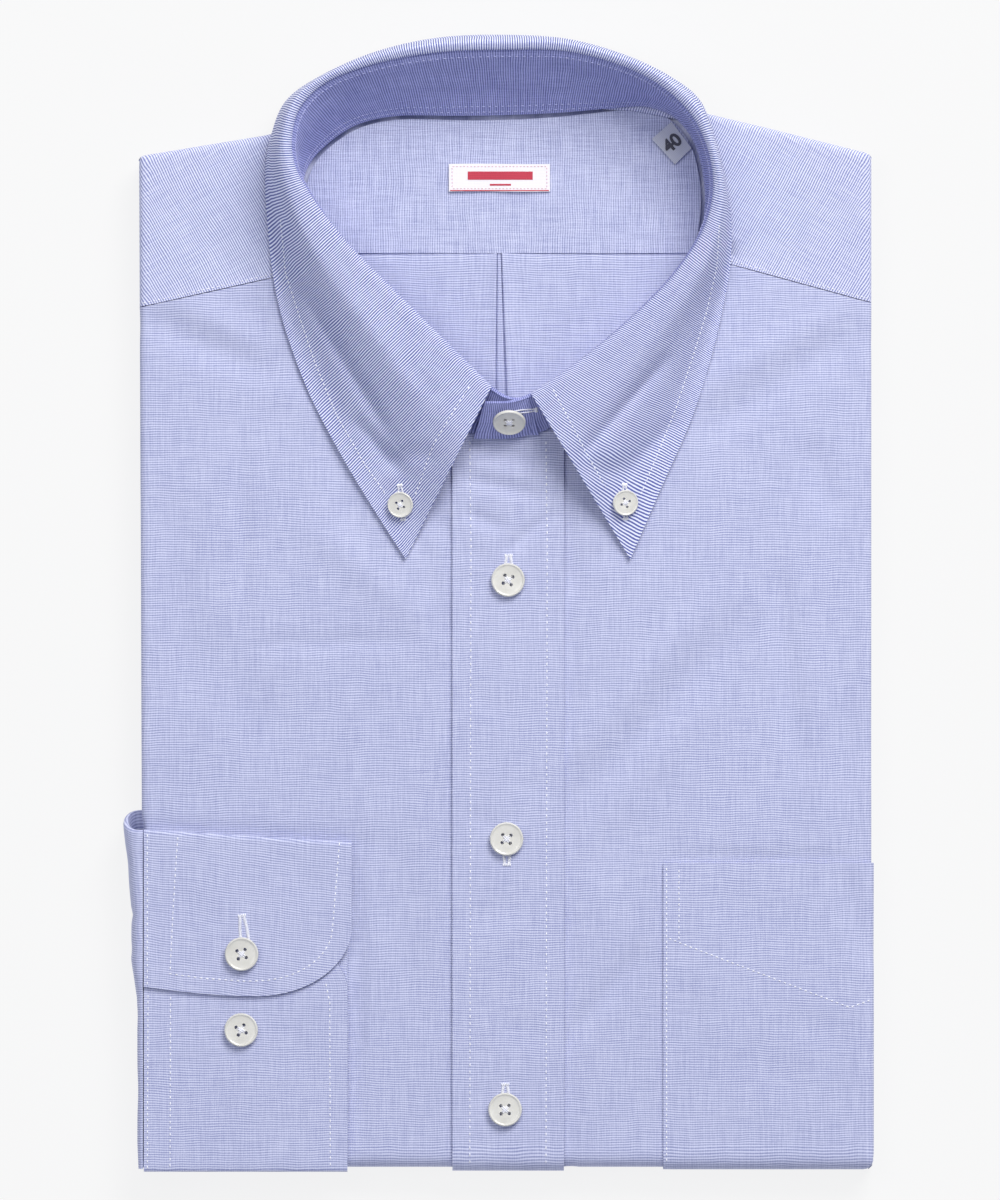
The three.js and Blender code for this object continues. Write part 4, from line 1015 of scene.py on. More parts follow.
def barrel_cuff():
    across = [math.sin(s * math.pi / 2) for s in steps(56)]
    xs = [mix(CUFF["left"], CUFF["right"], s) for s in across]
    strips = [cuff_strip(x) for x in xs]
    runs = [lengths_along([Vector((0, *p)) for p in strip]) for strip in strips]
    end_row = CUFF_ROWS["over"]
    overlap_rows = end_row + CUFF_ROWS["turn"]
    back_rows = overlap_rows + CUFF_ROWS["back"] + CUFF_ROWS["fold"]

    def place(i, j):
        y, height = strips[i][j]
        x = xs[i]
        if j > overlap_rows:
            rise = clamp((y - UNDER_CORNER["low"]) / UNDER_CORNER["rise"], 0, 1.3)
            corner = UNDER_CORNER["cut"] * rise**2 if j > back_rows else 0
            x = mix(CUFF["left"], CUFF_UNDER_RIGHT - corner, across[i])
        return Vector((x, y, stack_top(x, y) + height - crease_depth(CUFF_CREASES, x, y)))

    def grain(i, j):
        return xs[i], strips[i][end_row][0] - runs[i][j] + runs[i][end_row]

    return cloth_grid("cuff_cloth", len(xs) - 1, len(strips[0]) - 1, place, grain,
                      thickness=CUFF_LAYER, offset=0, flip=True)


cuff = dress(barrel_cuff(), body_cloth, "cuff")

# %% [markdown]
# Beside the cuff the sleeve comes up round the left edge from behind, with its mouth
# open at the top. Its section is a rounded square, and small dents show where the
# cloth was pressed.

# %% The end of the sleeve
SLEEVE_BULGE = [(-192.4, 1.3), (-184, 1.7), (-149, 1.7), (-134, 1.9), (-127, 2.9), (-121, 3.9),
                (-105.4, 3.6), (-93.8, 4.7), (-76, 6.45)]
SLEEVE_TOP = [(-192.4, 0), (-134, 0), (-127, 0.8), (-121, 1), (-76, 1)]
SLEEVE_SEAM_X = CUFF["left"] - GAP
SLEEVE_BOTTOM = 1.1
SLEEVE_TURN = (math.radians(90), math.radians(-90))
SLEEVE_SQUARENESS = 2 / 3
SLEEVE_PITCH = CLOTH + GAP
SLEEVE_INNER_END = -122
SLEEVE_LOW, SLEEVE_SWELL = -192.4, -134
SLEEVE_TURNS = 28
GIRTH_ROW = 20
SLEEVE_MOUTH = {"side": -74.2, "slant": 3.3}
SLEEVE_DENTS = [(-106, 1.6, 0.45), (-88, 5, 0.35), (-140, 4, 0.25), (-166, 6, 0.3), (-118, 3, 0.3)]


def sleeve_point(y, turn, inset):
    dent = sum(depth * math.exp(-(((y - at) / width) ** 2)) for at, width, depth in SLEEVE_DENTS)
    bulge = max(along(SLEEVE_BULGE, y) - inset - dent, 0.3)
    raised = along(SLEEVE_TOP, y)
    outer_top = mix(CUFF_UNDER, CUFF_OVER, raised) + CLOTH / 2
    top = STACK_TOP + outer_top - inset * (CUFF_OVER - CUFF_BACK) / SLEEVE_PITCH
    bottom = SLEEVE_BOTTOM + inset
    centre, rise = (top + bottom) / 2, (top - bottom) / 2
    side = abs(math.cos(turn)) ** SLEEVE_SQUARENESS
    up = math.copysign(abs(math.sin(turn)) ** SLEEVE_SQUARENESS, math.sin(turn))
    return Vector((SLEEVE_SEAM_X - bulge * side, y, centre + rise * up))


def sleeve_end():
    low, high = spread((SLEEVE_LOW, SLEEVE_SWELL, 26)), steps(40)[1:]
    outer = len(low) + len(high)
    inner = spread((-84, SLEEVE_INNER_END, 14))
    mouth = steps(8)[1:-1]
    turns = [mix(*SLEEVE_TURN, s) for s in steps(SLEEVE_TURNS)]

    def place(i, j):
        turn = turns[i]
        lip = SLEEVE_MOUTH["side"] - SLEEVE_MOUTH["slant"] * math.sin(turn)
        end = lip - SLEEVE_PITCH / 2
        if j < len(low):
            return sleeve_point(low[j], turn, 0)
        if j < outer:
            return sleeve_point(mix(SLEEVE_SWELL, end, high[j - len(low)]), turn, 0)
        if j < outer + len(mouth):
            share = mouth[j - outer]
            point = sleeve_point(end, turn, (1 - math.cos(math.pi * share)) / 2 * SLEEVE_PITCH)
            point.y = end + SLEEVE_PITCH / 2 * math.sin(math.pi * share)
            return point
        return sleeve_point(inner[j - outer - len(mouth)], turn, SLEEVE_PITCH)

    rows = outer + len(mouth) + len(inner) - 1
    middle = lengths_along([place(SLEEVE_TURNS // 2, j) for j in range(rows + 1)])
    round_it = lengths_along([place(i, GIRTH_ROW) for i in range(len(turns))])
    return cloth_grid("sleeve_cloth", len(turns) - 1, rows, place,
                      lambda i, j: (round_it[i], middle[j]), thickness=0.7, offset=0, flip=True)


sleeve = dress(sleeve_end(), body_cloth, "sleeve")

# %% [markdown]
# Under the fronts lie the folded back, sleeves and tail. From the side they show as
# layers with rounded folds, so the profile below goes in and out from the top face to
# the flat underside. Slow waves along the edge keep the layers from looking machined.

# %% The hidden layers
LAYER_EDGE = [
    # out and height at the sides and shoulders, then at the hem
    (0, 13.9, 0, 13.9), (1.4, 13.1, 4.0, 12.0), (2.0, 11.55, 5.8, 7.7), (1.2, 9.95, 3.8, 3.5),
    (0.5, 9.5, 2.6, 2.5), (0.2, 7.9, 1.4, 1.75), (1.6, 7.55, 0, 1.5), (3.1, 6.5, -0.6, 1.4),
    (3.2, 5.0, -1.0, 1.2), (2.2, 3.95, -1.4, 1.0), (3.0, 3.2, -1.8, 0.75), (3.15, 1.7, -2.2, 0.5),
    (2.3, 0.4, -2.6, 0.2), (1.2, 0, -3, 0),
]
CAP_RINGS = (0.15, 0.4, 0.65, 0.85)
ROWS_PER_LAYER = 3
ROW_GRAIN = 0.8
EDGE_WAVES = [(0.22, 23, 1.7), (0.16, 19, 2.3)]


def stack_outline():
    """Places round the stack, each with the way that it faces."""
    places = []

    def corner(x, y, start):
        for share in steps(8):
            angle = math.radians(start + 90 * share)
            places.append((x, y, math.cos(angle), math.sin(angle)))

    left_top, left_low = left_fold(SHOULDER_Y), left_fold(HEM_FOLD)
    right_y, left_y = shoulder_fold(RIGHT_FOLD), shoulder_fold(left_top)
    corner(left_low, HEM_FOLD, 180)
    places.extend((mix(left_low, RIGHT_FOLD, s), HEM_FOLD, 0, -1) for s in steps(50)[1:-1])
    corner(RIGHT_FOLD, HEM_FOLD, 270)
    places.extend((RIGHT_FOLD, mix(HEM_FOLD, right_y, s), 1, 0) for s in steps(60)[1:-1])
    corner(RIGHT_FOLD, right_y, 0)
    for s in steps(60)[1:-1]:
        x = mix(RIGHT_FOLD, left_top, s)
        places.append((x, shoulder_fold(x), 0, 1))
    corner(left_top, left_y, 90)
    for s in steps(60)[1:-1]:
        y = mix(left_y, HEM_FOLD, s)
        places.append((left_fold(y), y, -1, 0))
    return places


def hidden_layers():
    outline = stack_outline()
    count = len(outline)
    profile_rows = (len(LAYER_EDGE) - 1) * ROWS_PER_LAYER
    table = [Vector(row) for row in LAYER_EDGE]
    rings = len(CAP_RINGS)

    def place(i, j):
        x, y, out_x, out_y = outline[i % count]
        if j < rings:
            x, y = x * CAP_RINGS[j], y * CAP_RINGS[j]
            return Vector((x, y, stack_top(x, y)))
        at = (j - rings) / ROWS_PER_LAYER
        side_out, side_z, hem_out, hem_z = smooth_through(table, at)
        to_hem = out_y**2 if out_y < 0 else 0
        wave = sum(size * math.sin(run / length + at * twist)
                   for run, (size, length, twist) in zip((y, x), EDGE_WAVES))
        waved = wave * math.sin(math.pi * at / (len(table) - 1)) * (1 - to_hem)
        out = mix(side_out, hem_out, to_hem) + waved
        return Vector((x + out * out_x, y + out * out_y, max(0, mix(side_z, hem_z, to_hem))))

    def grain(i, j):
        x, y, _, _ = outline[i % count]
        return x + y, j * ROW_GRAIN

    piece = cloth_grid("folded_layers", count, rings + profile_rows, place, grain, flip=True)
    piece.modifiers.clear()
    bm = bmesh.new()
    bm.from_mesh(piece.data)
    bmesh.ops.remove_doubles(bm, verts=bm.verts[:], dist=0.00001)
    bmesh.ops.holes_fill(bm, edges=[e for e in bm.edges if e.is_boundary], sides=0)
    bmesh.ops.recalc_face_normals(bm, faces=bm.faces[:])
    for edge in bm.edges:
        edge.smooth = True
    bm.to_mesh(piece.data)
    bm.free()
    return piece


folded_layers = dress(hidden_layers(), body_cloth, "folded_core")

# %% [markdown]
# Sewing finds its own height: a ray dropped from above gives the cloth's surface and
# its slope at a place, and each stitch is a small oval bead pressed half into it. A
# stitch has only a few dozen faces, because there are hundreds of them.

# %% Laying sewing on cloth
def surface_of(*pieces):
    """Ray-cast trees of the pieces with their thickness."""
    graph = bpy.context.evaluated_depsgraph_get()
    return [BVHTree.FromObject(piece, graph) for piece in pieces]


def touch(trees, x, y):
    """Point and normal of the topmost cloth at a place, in metres."""
    start = (Vector((x, y, 80)) + SHIFT) * MM
    hits = [tree.ray_cast(start, Vector((0, 0, -1))) for tree in trees]
    hits = [hit for hit in hits if hit[0] is not None]
    if not hits:
        return None
    return max(hits, key=lambda hit: hit[0].z)[:2]


def turned(forward, normal):
    """Rotation with X along forward and Z along the normal."""
    z = normal.normalized()
    x = (forward - z * forward.dot(z)).normalized()
    y = z.cross(x)
    return Matrix((x, y, z)).transposed().to_4x4()


def add_bead(bm, centre, forward, normal, length, width, height, sides=6, rings=4):
    sizes = Matrix.Diagonal((length, width, height, 1 / MM)) * MM
    bmesh.ops.create_uvsphere(bm, u_segments=sides, v_segments=rings, radius=0.5,
                              matrix=Matrix.Translation(centre) @ turned(forward, normal) @ sizes)


def stitch(bm, trees, place, forward, length, width, height):
    """A bead on the topmost cloth under a place, and none where there is no cloth."""
    found = touch(trees, place.x, place.y)
    if found:
        add_bead(bm, found[0], forward, found[1], length, width, height)


def walk(corners, pitch):
    """Places every pitch along a line of corners, each with its direction."""
    points = [Vector((x, y, 0)) for x, y in corners]
    places, carried = [], pitch / 2
    for a, b in zip(points, points[1:]):
        length = (b - a).length
        way = (b - a) / length
        while carried < length:
            places.append((a + way * carried, way))
            carried += pitch
        carried -= length
    return places


STITCH = {"length": 1.25, "width": 0.5, "height": 0.42}


def sew(bm, trees, corners, pitch, length=STITCH["length"], width=STITCH["width"]):
    for place, way in walk(corners, pitch):
        stitch(bm, trees, place, way, length, width, STITCH["height"])


# %% [markdown]
# White thread shows along the placket, the pocket, the yoke seams, the cuff and round
# the collar leaf. Each row is a short list of corners in pattern places.

# %% Thread and sewn rows
def thread_material(name, deep, pale):
    material, tree, shader = new_material(name, Roughness=0.6, Sheen_Weight=0.2)
    place = object_place(tree)
    fuzz = noise(tree, place, scale=900, detail=1)
    tree.links.new(blend(tree, fuzz, deep, pale), shader.inputs["Base Color"])
    bump(tree, shader, noise(tree, place, scale=2500), 0.3, 0.1)
    return material


thread = thread_material("cotton thread", (0.76, 0.77, 0.88), (0.98, 0.98, 1.0))


def thread_piece(name, bm, material=thread):
    for face in bm.faces:
        face.smooth = True
    piece = new_object(name, bm)
    print(name, "faces:", len(piece.data.polygons))
    return dress(piece, material, slot="thread")


def sewn_rows(name, piece, rows, **look):
    """One thread piece with all the sewn rows of a cloth piece."""
    bm = bmesh.new()
    trees = surface_of(piece)
    for row in rows:
        sew(bm, trees, row, **look)
    return thread_piece(name, bm)


PLACKET_ROWS = [[(-10.0, 55.6), (-9.6, 20), (-10.0, -191.5)], [(15.9, 55.6), (16.3, 20), (15.9, -191.5)]]
POCKET_ROWS = [[(56.9, -89.6), (56.9, -190.6)], [(61.1, -90.2), (61.1, -114.9)],
               [(57.2, -113.8), (62.3, -115.9), (119.2, -137.5), (126.2, -135)]]
ABOVE_SEAM = 1.3
YOKE_ROWS = [[(x, along(YOKE_SEAM_LEFT, x) + ABOVE_SEAM) for x in (-121.5, -77.4, -70)],
             [(x, along(YOKE_SEAM_RIGHT, x) + ABOVE_SEAM) for x in (70, 78.8, 125.8)]]
sewn_rows("placket_sewing", placket, PLACKET_ROWS, pitch=2.35)
sewn_rows("pocket_sewing", pocket, POCKET_ROWS, pitch=1.9, length=1.15, width=0.5)
sewn_rows("yoke_sewing", yoke_outer, YOKE_ROWS, pitch=1.7, length=1.0, width=0.4)

# %% [markdown]
# The cuff is sewn close to its sleeve seam, twice, and six millimetres inside its
# edge. The collar leaf has a row six millimetres inside its edge, which ends at the
# buttons. The rows inside the neck band follow the stand's own points.

# %% Sewing on the cuff and the collar leaf
def cuff_sewing():
    bm = bmesh.new()
    trees = surface_of(cuff)
    curve = [(mix(CUFF["corner_x"], -56.6, math.sin(a)), mix(-110, -128.4, math.cos(a)))
             for a in (s * math.pi / 2 for s in steps(10))]
    inner = [(-109.2, -79), (-110.6, -100), (-111.9, -126), (-100, -127.6), (-86.1, -128.5)]
    rows = [(2.0, [(-119.6, -78.2), (-119.6, -129.6)]), (2.0, [(-119.4, -132.8), (-119.6, -192.6)]),
            (2.1, inner + curve + [(-54.3, -81.8)]), (2.1, [(-111.7, -133.4), (-111.9, -192.6)]),
            (2.1, [(-59, -128.9), (-57.6, -136), (-57.4, -192.6)])]
    for pitch, row in rows:
        sew(bm, trees, row, pitch)
    return thread_piece("cuff_sewing", bm)


BAND_STITCH = {"length": 1.1, "width": 0.36, "height": 0.3}
BAND_PITCH = 1.9
BAND_LIFT = 0.6


def sew_band(bm, rise, share_from, share_to):
    """Stitches along the inner face of the stand, at one height on it."""
    count = round((share_to - share_from) * stand_length[-1] / BAND_PITCH)
    for s in steps(count):
        share = mix(share_from, share_to, s)
        here = stand_point(share, rise)
        forward = stand_point(share + 0.002, rise) - here
        upward = stand_point(share, rise + 0.02) - here
        normal = forward.cross(upward).normalized()
        if normal.dot(NECK_CENTRE - here) < 0:
            normal = -normal
        centre = (here + normal * BAND_LIFT + SHIFT) * MM
        add_bead(bm, centre, forward, normal, **BAND_STITCH)


LEAF_ROWS = [
    # outer edges, left and right, then front edges
    [(-38.6, 37), (-45.7, 47.1), (-55.2, 63.6), (-63, 82.6), (-68.2, 98.3), (-72.6, 112), (-74.2, 130)],
    [(48, 36.6), (53.2, 49), (60, 66), (65.6, 83), (70.2, 98), (73.8, 114), (74.6, 129)],
    [(-28.6, 36.4), (-22.2, 54.1), (-14.4, 66.8), (-9.8, 74)],
    [(36.4, 39), (30, 50), (23.2, 63), (18, 73)],
]


def band_sewing():
    bm = bmesh.new()
    for rise in (0.05, 0.13, 0.93):
        sew_band(bm, rise, 0.2, 0.8)
    # These stitches are the same white cotton thread, painted blue-grey for the shade inside the collar band.
    shaded = thread_material("white thread in painted shade", (0.40, 0.42, 0.70), (0.62, 0.64, 0.92))
    return thread_piece("band_sewing", bm, shaded)


cuff_sewing()
sewn_rows("collar_sewing", collar_leaf, LEAF_ROWS, pitch=1.75, length=1.15, width=0.42)
band_sewing()

# %% [markdown]
# A shirt button is a small turned disc with a raised rim, a shallow dish and four
# holes. One profile is spun round, the holes are cut with a Boolean, and the mesh is
# copied at three sizes. White thread crosses between the holes.

# %% The button shape
BUTTON_PROFILE = [(0, 0.1), (0.62, 0.1), (0.84, 0.14), (0.95, 0.3), (1.0, 0.5), (0.995, 0.68),
                  (0.97, 0.82), (0.925, 0.9), (0.88, 0.88), (0.85, 0.8), (0.8, 0.77), (0.6, 0.76),
                  (0.42, 0.74), (0.25, 0.7), (0, 0.69)]
HOLE_REACH = 0.235
HOLE_RADIUS = 0.105


def button_disc():
    bm = bmesh.new()
    points = [bm.verts.new((r, 0, z)) for r, z in BUTTON_PROFILE]
    edges = [bm.edges.new(pair) for pair in zip(points, points[1:])]
    bmesh.ops.spin(bm, geom=points + edges, cent=(0, 0, 0), axis=(0, 0, 1),
                   angle=2 * math.pi, steps=48, use_merge=True)
    bmesh.ops.remove_doubles(bm, verts=bm.verts[:], dist=0.0001)
    bmesh.ops.recalc_face_normals(bm, faces=bm.faces[:])
    return bm


def button_holes():
    bm = bmesh.new()
    for side_x, side_y in ((1, 1), (-1, 1), (-1, -1), (1, -1)):
        place = Matrix.Translation((side_x * HOLE_REACH, side_y * HOLE_REACH, 0.5))
        bmesh.ops.create_cone(bm, cap_ends=True, segments=16, radius1=HOLE_RADIUS,
                              radius2=HOLE_RADIUS, depth=3, matrix=place)
    return bm


def drilled_button():
    """Unit button: radius 1, thickness 1."""
    disc, holes = new_object("disc", button_disc()), new_object("holes", button_holes())
    cut = disc.modifiers.new("holes", "BOOLEAN")
    cut.operation = "DIFFERENCE"
    cut.solver = "EXACT"
    cut.object = holes
    drilled = finished_mesh(disc)
    for spare in (disc, holes):
        bpy.data.objects.remove(spare)
    return drilled


unit_button = drilled_button()
print("button faces:", len(unit_button.polygons))

# %% The button material
def button_material():
    material, tree, shader = new_material("ivory button", Coat_Weight=0.3, Subsurface_Weight=0.1,
                                          Subsurface_Radius=(0.001, 0.001, 0.0008))
    place = object_place(tree)
    clouds = noise(tree, place, scale=160, detail=3)
    tree.links.new(blend(tree, clouds, (0.60, 0.585, 0.53), (0.86, 0.85, 0.80)), shader.inputs["Base Color"])
    rough = maths(tree, "MULTIPLY_ADD", noise(tree, place, scale=700), 0.2, 0.2)
    tree.links.new(rough, shader.inputs["Roughness"])
    bump(tree, shader, noise(tree, place, scale=1200), 0.08, 0.1)
    return material


ivory = button_material()

# %% [markdown]
# Each button sits where its own solid sits, so its place comes from the frame's box.
# The flat ones face up, the collar ones follow the leaf, and the stand one leans with
# the overlapped ends.

# %% The eight buttons
LARGE, SMALL, STAND_SIZE = (11.5, 2.2), (8.9, 1.8), (11.2, 2.0)
STAND_LEAN = Matrix.Rotation(math.radians(44), 4, "X")
STAND_MOVED = Vector((0, 0.8, 0.4))
SUNK = {"leaf": 1.0, "stand": 1.1}
SHARP_ANGLE = math.radians(38)
UP = Vector((0, 0, 1))


def place_button(name, node, centre, normal, size, spin=0.0):
    """A drilled disc, its underside's middle at centre, in metres."""
    diameter, thickness = size
    lean = UP.rotation_difference(normal).to_matrix().to_4x4()
    seat = Matrix.Translation(centre) @ lean @ Matrix.Rotation(spin, 4, "Z")
    radius = diameter / 2 * MM
    mesh = unit_button.copy()
    mesh.transform(seat @ Matrix.Diagonal((radius, radius, thickness * MM, 1)))
    piece = add_object(name, mesh)
    mesh.shade_smooth()
    mesh.set_sharp_from_angle(angle=SHARP_ANGLE)
    dress(piece, ivory, node, slot="button")
    return seat, radius, thickness * MM


CROSS = {"level": 0.66, "apart": 0.05, "length": HOLE_REACH * 2.6, "width": 0.09, "height": 0.16}


def cross_thread(bm, seat, radius, thickness):
    """Two crossed pairs of thread from hole to hole."""
    normal = seat.to_3x3() @ UP
    middle = seat @ Vector((0, 0, thickness * CROSS["level"]))
    sizes = [CROSS[size] * radius / MM for size in ("length", "width", "height")]
    for angle in (45, 135):
        turn = math.radians(angle)
        way = seat.to_3x3() @ Vector((math.cos(turn), math.sin(turn), 0))
        side = normal.cross(way) * CROSS["apart"] * radius
        for centre in (middle - side, middle + side):
            add_bead(bm, centre, way, normal, *sizes, sides=8, rings=10)


def flat_centre(node):
    low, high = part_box(node)
    return Vector(((low.x + high.x) / 2, (low.y + high.y) / 2, low.z))


FLAT_BUTTONS = ("button_placket_top", "button_placket_middle", "button_placket_low",
                "button_cuff_over", "button_cuff_under")
thread_bm = bmesh.new()
for k, node in enumerate(FLAT_BUTTONS):
    made = place_button(node + "_disc", node, flat_centre(node), UP, LARGE, spin=0.12 * k - 0.2)
    cross_thread(thread_bm, *made)

leaf_tree = surface_of(collar_leaf)
for node, spin in (("button_collar_left", 0.3), ("button_collar_right", -0.4)):
    low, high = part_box(node)
    middle = (low + high) / 2
    _, normal = touch(leaf_tree, middle.x / MM - SHIFT.x, middle.y / MM - SHIFT.y)
    normal = normal.normalized()
    centre = middle - normal * SUNK["leaf"] * MM
    cross_thread(thread_bm, *place_button(node + "_disc", node, centre, normal, SMALL, spin))

low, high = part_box("button_stand")
lean_normal = STAND_LEAN.to_3x3() @ UP
centre = (low + high) / 2 + (STAND_MOVED - lean_normal * SUNK["stand"]) * MM
cross_thread(thread_bm, *place_button("button_stand_disc", "button_stand", centre, lean_normal, STAND_SIZE))
thread_piece("button_thread", thread_bm)

# %% [markdown]
# A buttonhole is a slit between two close rows of satin stitches, with a bar tack at
# each end. Most of it lies under its button, and the ends show above and below.

# %% The buttonholes
SATIN = {"pitch": 0.42, "slant": 0.25, "width": 0.504, "height": 0.6}
BAR = {"beyond": 0.3, "apart": 0.42, "length": 1.3, "width": 0.588, "height": 0.8}


def satin_slot(bm, trees, x, y, length, way, wide=1.4, mouth=(0.65, 1.3)):
    """Two rows of short stitches beside an open slit, and a bar at each end."""
    way = Vector((*way, 0)).normalized()
    side = Vector((-way.y, way.x, 0))
    middle = Vector((x, y, 0))
    count = int(length / SATIN["pitch"])
    for k in range(count + 1):
        open_here = mix(*mouth, math.sin(math.pi * k / count))
        for edge in (-1, 1):
            place = middle + way * (k * SATIN["pitch"] - length / 2) + side * edge * open_here
            forward = side + way * SATIN["slant"] * edge
            stitch(bm, trees, place, forward, wide, SATIN["width"], SATIN["height"])
    for end in (-1, 1):
        bar = middle + way * end * (length / 2 + BAR["beyond"])
        for k in range(-2, 3):
            place = bar + side * k * wide * BAR["apart"]
            stitch(bm, trees, place, way, BAR["length"], BAR["width"], BAR["height"])


def buttonholes():
    bm = bmesh.new()
    flat = surface_of(placket, cuff)
    leaf = surface_of(collar_leaf)
    for x, y in ((3.2, 9.6), (2.6, -82.4), (2.1, -170.2)):
        satin_slot(bm, flat, x, y, 12.6, (0, 1))
    satin_slot(bm, flat, -86.6, -113.2, 13.5, (-0.12, 1))
    for x, y, slant in ((-33.2, 34.2, -0.1), (42.8, 34.4, -0.03)):
        satin_slot(bm, leaf, x, y, 11.0, (slant, 1), wide=0.9, mouth=(0.4, 1.0))
    satin_slot(bm, surface_of(collar_stand), 7.8, 65.0, 9, (1, 0.12), wide=0.7, mouth=(0.3, 0.5))
    return thread_piece("buttonhole_thread", bm)


buttonholes()

# %% [markdown]
# The neck label and the size tab are small satin tapes on the inner yoke. Their names
# are not this lesson's business: the label keeps a plain woven stripe, and the tab a
# plain number.

# %% Label and tab
def satin_material(name, base, line):
    return woven(name, line, base, (0.15, 0.45), pitch=0.5, across=0.5, down=0.25,
                 slubs=0.25, clouds=0.15, Sheen_Weight=0.4)[0]


white_satin = satin_material("white label satin", (0.93, 0.91, 0.93), (0.83, 0.80, 0.84))
# The tab satin's grey is painted shade: the tab lies in the shade of the collar's right wall.
painted_shade_tab_satin = satin_material("tab satin with painted shade", (0.60, 0.61, 0.69), (0.42, 0.44, 0.53))
red_satin = satin_material("red label thread", (0.62, 0.03, 0.07), (0.45, 0.02, 0.05))
dark_satin = satin_material("dark tab thread", (0.05, 0.05, 0.08), (0.03, 0.03, 0.05))


def label_tape():
    columns, rows = 36, 10

    def place(i, j):
        x = mix(LABEL["left"], LABEL["right"], i / columns)
        y = mix(LABEL["low"], LABEL["high"], j / rows) + 0.08 * math.sin(i / 6)
        lift = 0.16 * math.sin(i / columns * math.pi * 3.3 + 0.6) * (1 - j / rows)
        return laid(x, y, ON_FACE + 0.6 + lift)

    return cloth_grid("neck_label_tape", columns, rows, place,
                      lambda i, j: (i * 0.95, j * 0.94), thickness=0.4)


TAB = {"near_left": (51.9, 157.8), "near_right": (59.8, 149.1),
       "far_left": (58.6, 163.6), "far_right": (65.4, 154.6)}


def tab_flat(s, t):
    near = [mix(a, b, s) for a, b in zip(TAB["near_left"], TAB["near_right"])]
    far = [mix(a, b, s) for a, b in zip(TAB["far_left"], TAB["far_right"])]
    return mix(near[0], far[0], t), mix(near[1], far[1], t)


def size_tape():
    count = 12

    def place(i, j):
        x, y = tab_flat(i / count, j / count)
        return laid(x, y, ON_FACE + 0.8 + 0.25 * math.sin(j / count * math.pi))

    return cloth_grid("size_tab_tape", count, count, place, lambda i, j: (i, j * 0.7), thickness=0.4)


label = dress(label_tape(), white_satin, "neck_label", slot="label")
tab = dress(size_tape(), painted_shade_tab_satin, "size_tab", slot="label")

# %% Stripe on the label, border stitches and the tab's number
PATCHES = {
    # left, right, low, high; columns, rows; lift above the tape
    "label_stripe": (-10.7, 11.4, 143.9, 146.7, 40, 4, 0.12),
    "label_line": (-3.2, 4.0, 141.9, 142.5, 12, 2, 0.12),
    "label_edge_mark": (-16.7, 16.9, 140.05, 140.4, 60, 2, 0.06),
}
label_tree = surface_of(label)


def woven_patch(name, left, right, low, high, columns, rows, lift):
    """A thin woven patch that follows the label under it."""
    def place(i, j):
        x, y = mix(left, right, i / columns), mix(low, high, j / rows)
        return touch(label_tree, x, y)[0] / MM - SHIFT + Vector((0, 0, lift))

    patch = cloth_grid(name, columns, rows, place, lambda i, j: (i * 0.5, j * 0.5), thickness=0.08)
    return dress(patch, red_satin, slot="label")


patches = [woven_patch(name, *sizes) for name, sizes in PATCHES.items()]


def label_sewing():
    bm = bmesh.new()
    frame_line = [(-16, 140.9), (16.2, 140.9), (16.2, 148.4), (-16, 148.4), (-16, 140.9)]
    sew(bm, label_tree, frame_line, pitch=1.2, length=0.75, width=0.4)
    rose = thread_material("rose thread", (0.70, 0.42, 0.50), (0.86, 0.62, 0.70))
    return thread_piece("label_sewing", bm, rose)


NUMBER = {"size": 6.2, "raised": 0.05, "bolder": 0.22, "lift": 0.12}


def tab_number():
    """The number is made as a flat text, turned to a mesh and laid on the tab."""
    text = bpy.data.curves.new("tab number", "FONT")
    text.body = "40"
    text.size = NUMBER["size"] * MM
    text.align_x = "CENTER"
    text.align_y = "CENTER"
    text.extrude = NUMBER["raised"] * MM
    text.offset = NUMBER["bolder"] * MM
    holder = add_object("tab number", text)
    mesh = finished_mesh(holder)
    bpy.data.objects.remove(holder)
    x, y = tab_flat(0.5, 0.5)
    point, normal = touch(surface_of(tab), x, y)
    forward = Vector((*TAB["far_left"], 0)) - Vector((*TAB["near_left"], 0))
    mesh.transform(Matrix.Translation(point + normal * NUMBER["lift"] * MM) @ turned(forward, normal))
    mesh.uv_layers.new(name="grain")
    return dress(add_object("tab_number", mesh), dark_satin, slot="label")


label_thread = label_sewing()
number = tab_number()

# %% [markdown]
# Each cloth piece states the size it was cut to. The panels that roll round a fold are
# longer flat than they look from above, and odd cuts give their own area.

# %% The flat cut of every cloth piece
def cloth_area(piece):
    graph = bpy.context.evaluated_depsgraph_get()
    mesh = piece.evaluated_get(graph).to_mesh()
    area = sum(polygon.area for polygon in mesh.polygons) / 2
    piece.evaluated_get(graph).to_mesh_clear()
    return area


def declare(piece, width, length, held, rests_on, sewn_on=()):
    area = min(cloth_area(piece), width * length * MM * MM)
    print(piece.name, "cut", width, "by", length, "mm, area", round(area / MM / MM), "mm2")


CORE, INNER = ["folded_layers"], ["yoke_inner_cloth"]
FLAT_CUTS = [
    # piece, width, length, how it is held, what it rests on, what is sewn on it
    (front_left, 131, 322, "folded", CORE),
    (front_right, 134, 322, "folded", CORE),
    (placket, 38, 269, "folded", ["front_left_cloth", "front_right_cloth"]),
    (pocket, 75, 122, "folded", ["front_right_cloth"]),
    (yoke_outer, 262, 82, "folded", CORE),
    (yoke_inner, 136, 48, "laid", CORE),
    (back_panel, 98, 57, "laid", CORE),
    (collar_stand, round(stand_length[-1]), 36, "folded", ["placket_cloth", "yoke_outer_cloth"]),
    (collar_leaf, round(roll_lengths[-1] + 2 * LEAF_SLANT), 78, "folded", ["collar_stand_cloth"]),
    (cuff, 71, 268, "folded", ["front_left_cloth"]),
    (sleeve, 34, 176, "folded", CORE),
    (folded_layers, 256, 385, "folded", []),
    (label, 34.4, 12.4, "laid", INNER, [*patches, label_thread]),
    (tab, 12, 10, "laid", INNER, [number]),
]
for row in FLAT_CUTS:
    declare(*row)

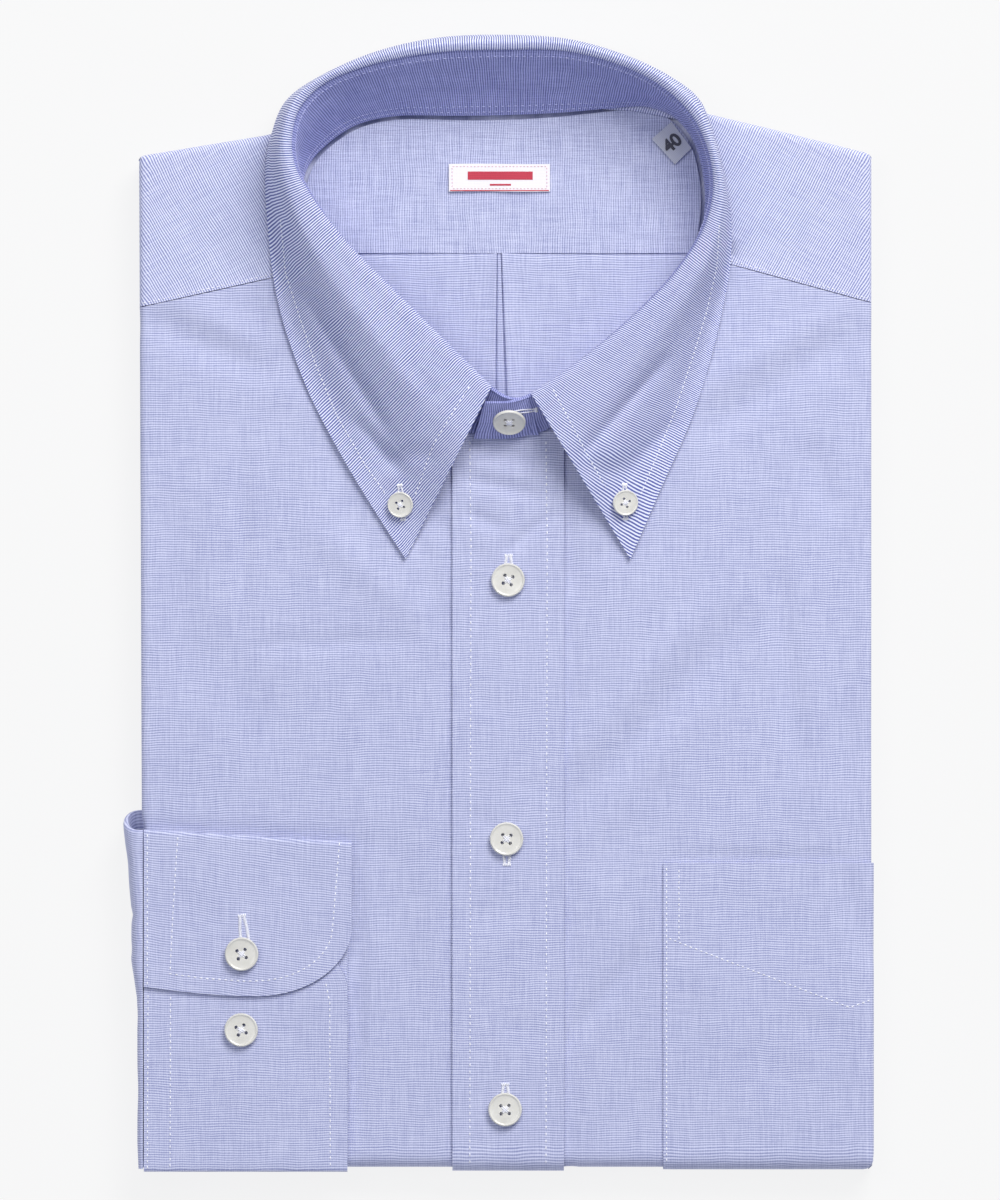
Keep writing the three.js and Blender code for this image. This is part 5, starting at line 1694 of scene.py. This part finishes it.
# %% [markdown]
# The studio is plain: a pale floor that glows a little like a light table, a broad
# soft light beyond the collar, a fill from its other side and a weak low one. The
# camera looks straight down from far away through a long lens, so the shirt keeps its
# measured outline.

# %% Floor
def floor_material():
    material, tree, shader = new_material("pale floor", Roughness=0.9, Specular_IOR_Level=0.1,
                                          Emission_Color=(1, 1, 1, 1), Emission_Strength=0.84)
    grey = blend(tree, noise(tree, object_place(tree), scale=3), (0.085, 0.085, 0.085), (0.095, 0.095, 0.095))
    tree.links.new(grey, shader.inputs["Base Color"])
    return material


floor_bm = bmesh.new()
bmesh.ops.create_grid(floor_bm, x_segments=1, y_segments=1, size=6)
floor = new_object("floor", floor_bm)
floor.data.materials.append(floor_material())

# %% Light
world = bpy.data.worlds.new("studio")
bpy.context.scene.world = world
world.use_nodes = True
sky = world.node_tree.nodes["Background"].inputs
sky["Color"].default_value = (0.84, 0.91, 1.12, 1)
sky["Strength"].default_value = 0.315
LAMP_DISTANCE = 2.6


def soft_box(name, power, size, azimuth, elevation):
    """Square soft box that faces the shirt. Azimuth 0 is the wearer's left, 90 beyond the collar."""
    lamp = bpy.data.lights.new(name, "AREA")
    lamp.energy = power
    lamp.size = size
    lamp.color = (1.0, 0.985, 0.95)
    holder = add_object(name, lamp)
    a, e = math.radians(azimuth), math.radians(elevation)
    towards = Vector((math.cos(e) * math.cos(a), math.cos(e) * math.sin(a), math.sin(e)))
    holder.location = towards * LAMP_DISTANCE
    holder.rotation_mode = "QUATERNION"
    holder.rotation_quaternion = towards.to_track_quat("Z", "Y")


soft_box("key soft box", power=63, size=1.4, azimuth=65, elevation=44)
soft_box("side soft box", power=14, size=1.2, azimuth=150, elevation=66)
soft_box("low soft box", power=5, size=1.2, azimuth=270, elevation=20)

# %% Camera
CAMERA_HEIGHT = 6.0
SENSOR = 36
FRAME_HEIGHT = 0.408
FRAME_CENTRE = Vector((0.27, 1.02, 0))
CLOTH_TOP = 0.016
camera_data = bpy.data.cameras.new("camera")
camera_data.sensor_width = SENSOR
camera_data.lens = SENSOR * CAMERA_HEIGHT / FRAME_HEIGHT
camera_data.clip_end = 50
camera = add_object("camera", camera_data)
camera.location = (FRAME_CENTRE + SHIFT) * MM + Vector((0, 0, CAMERA_HEIGHT + CLOTH_TOP))
scene = bpy.context.scene
scene.camera = camera
scene.view_settings.view_transform = "Standard"
scene.view_settings.look = "None"
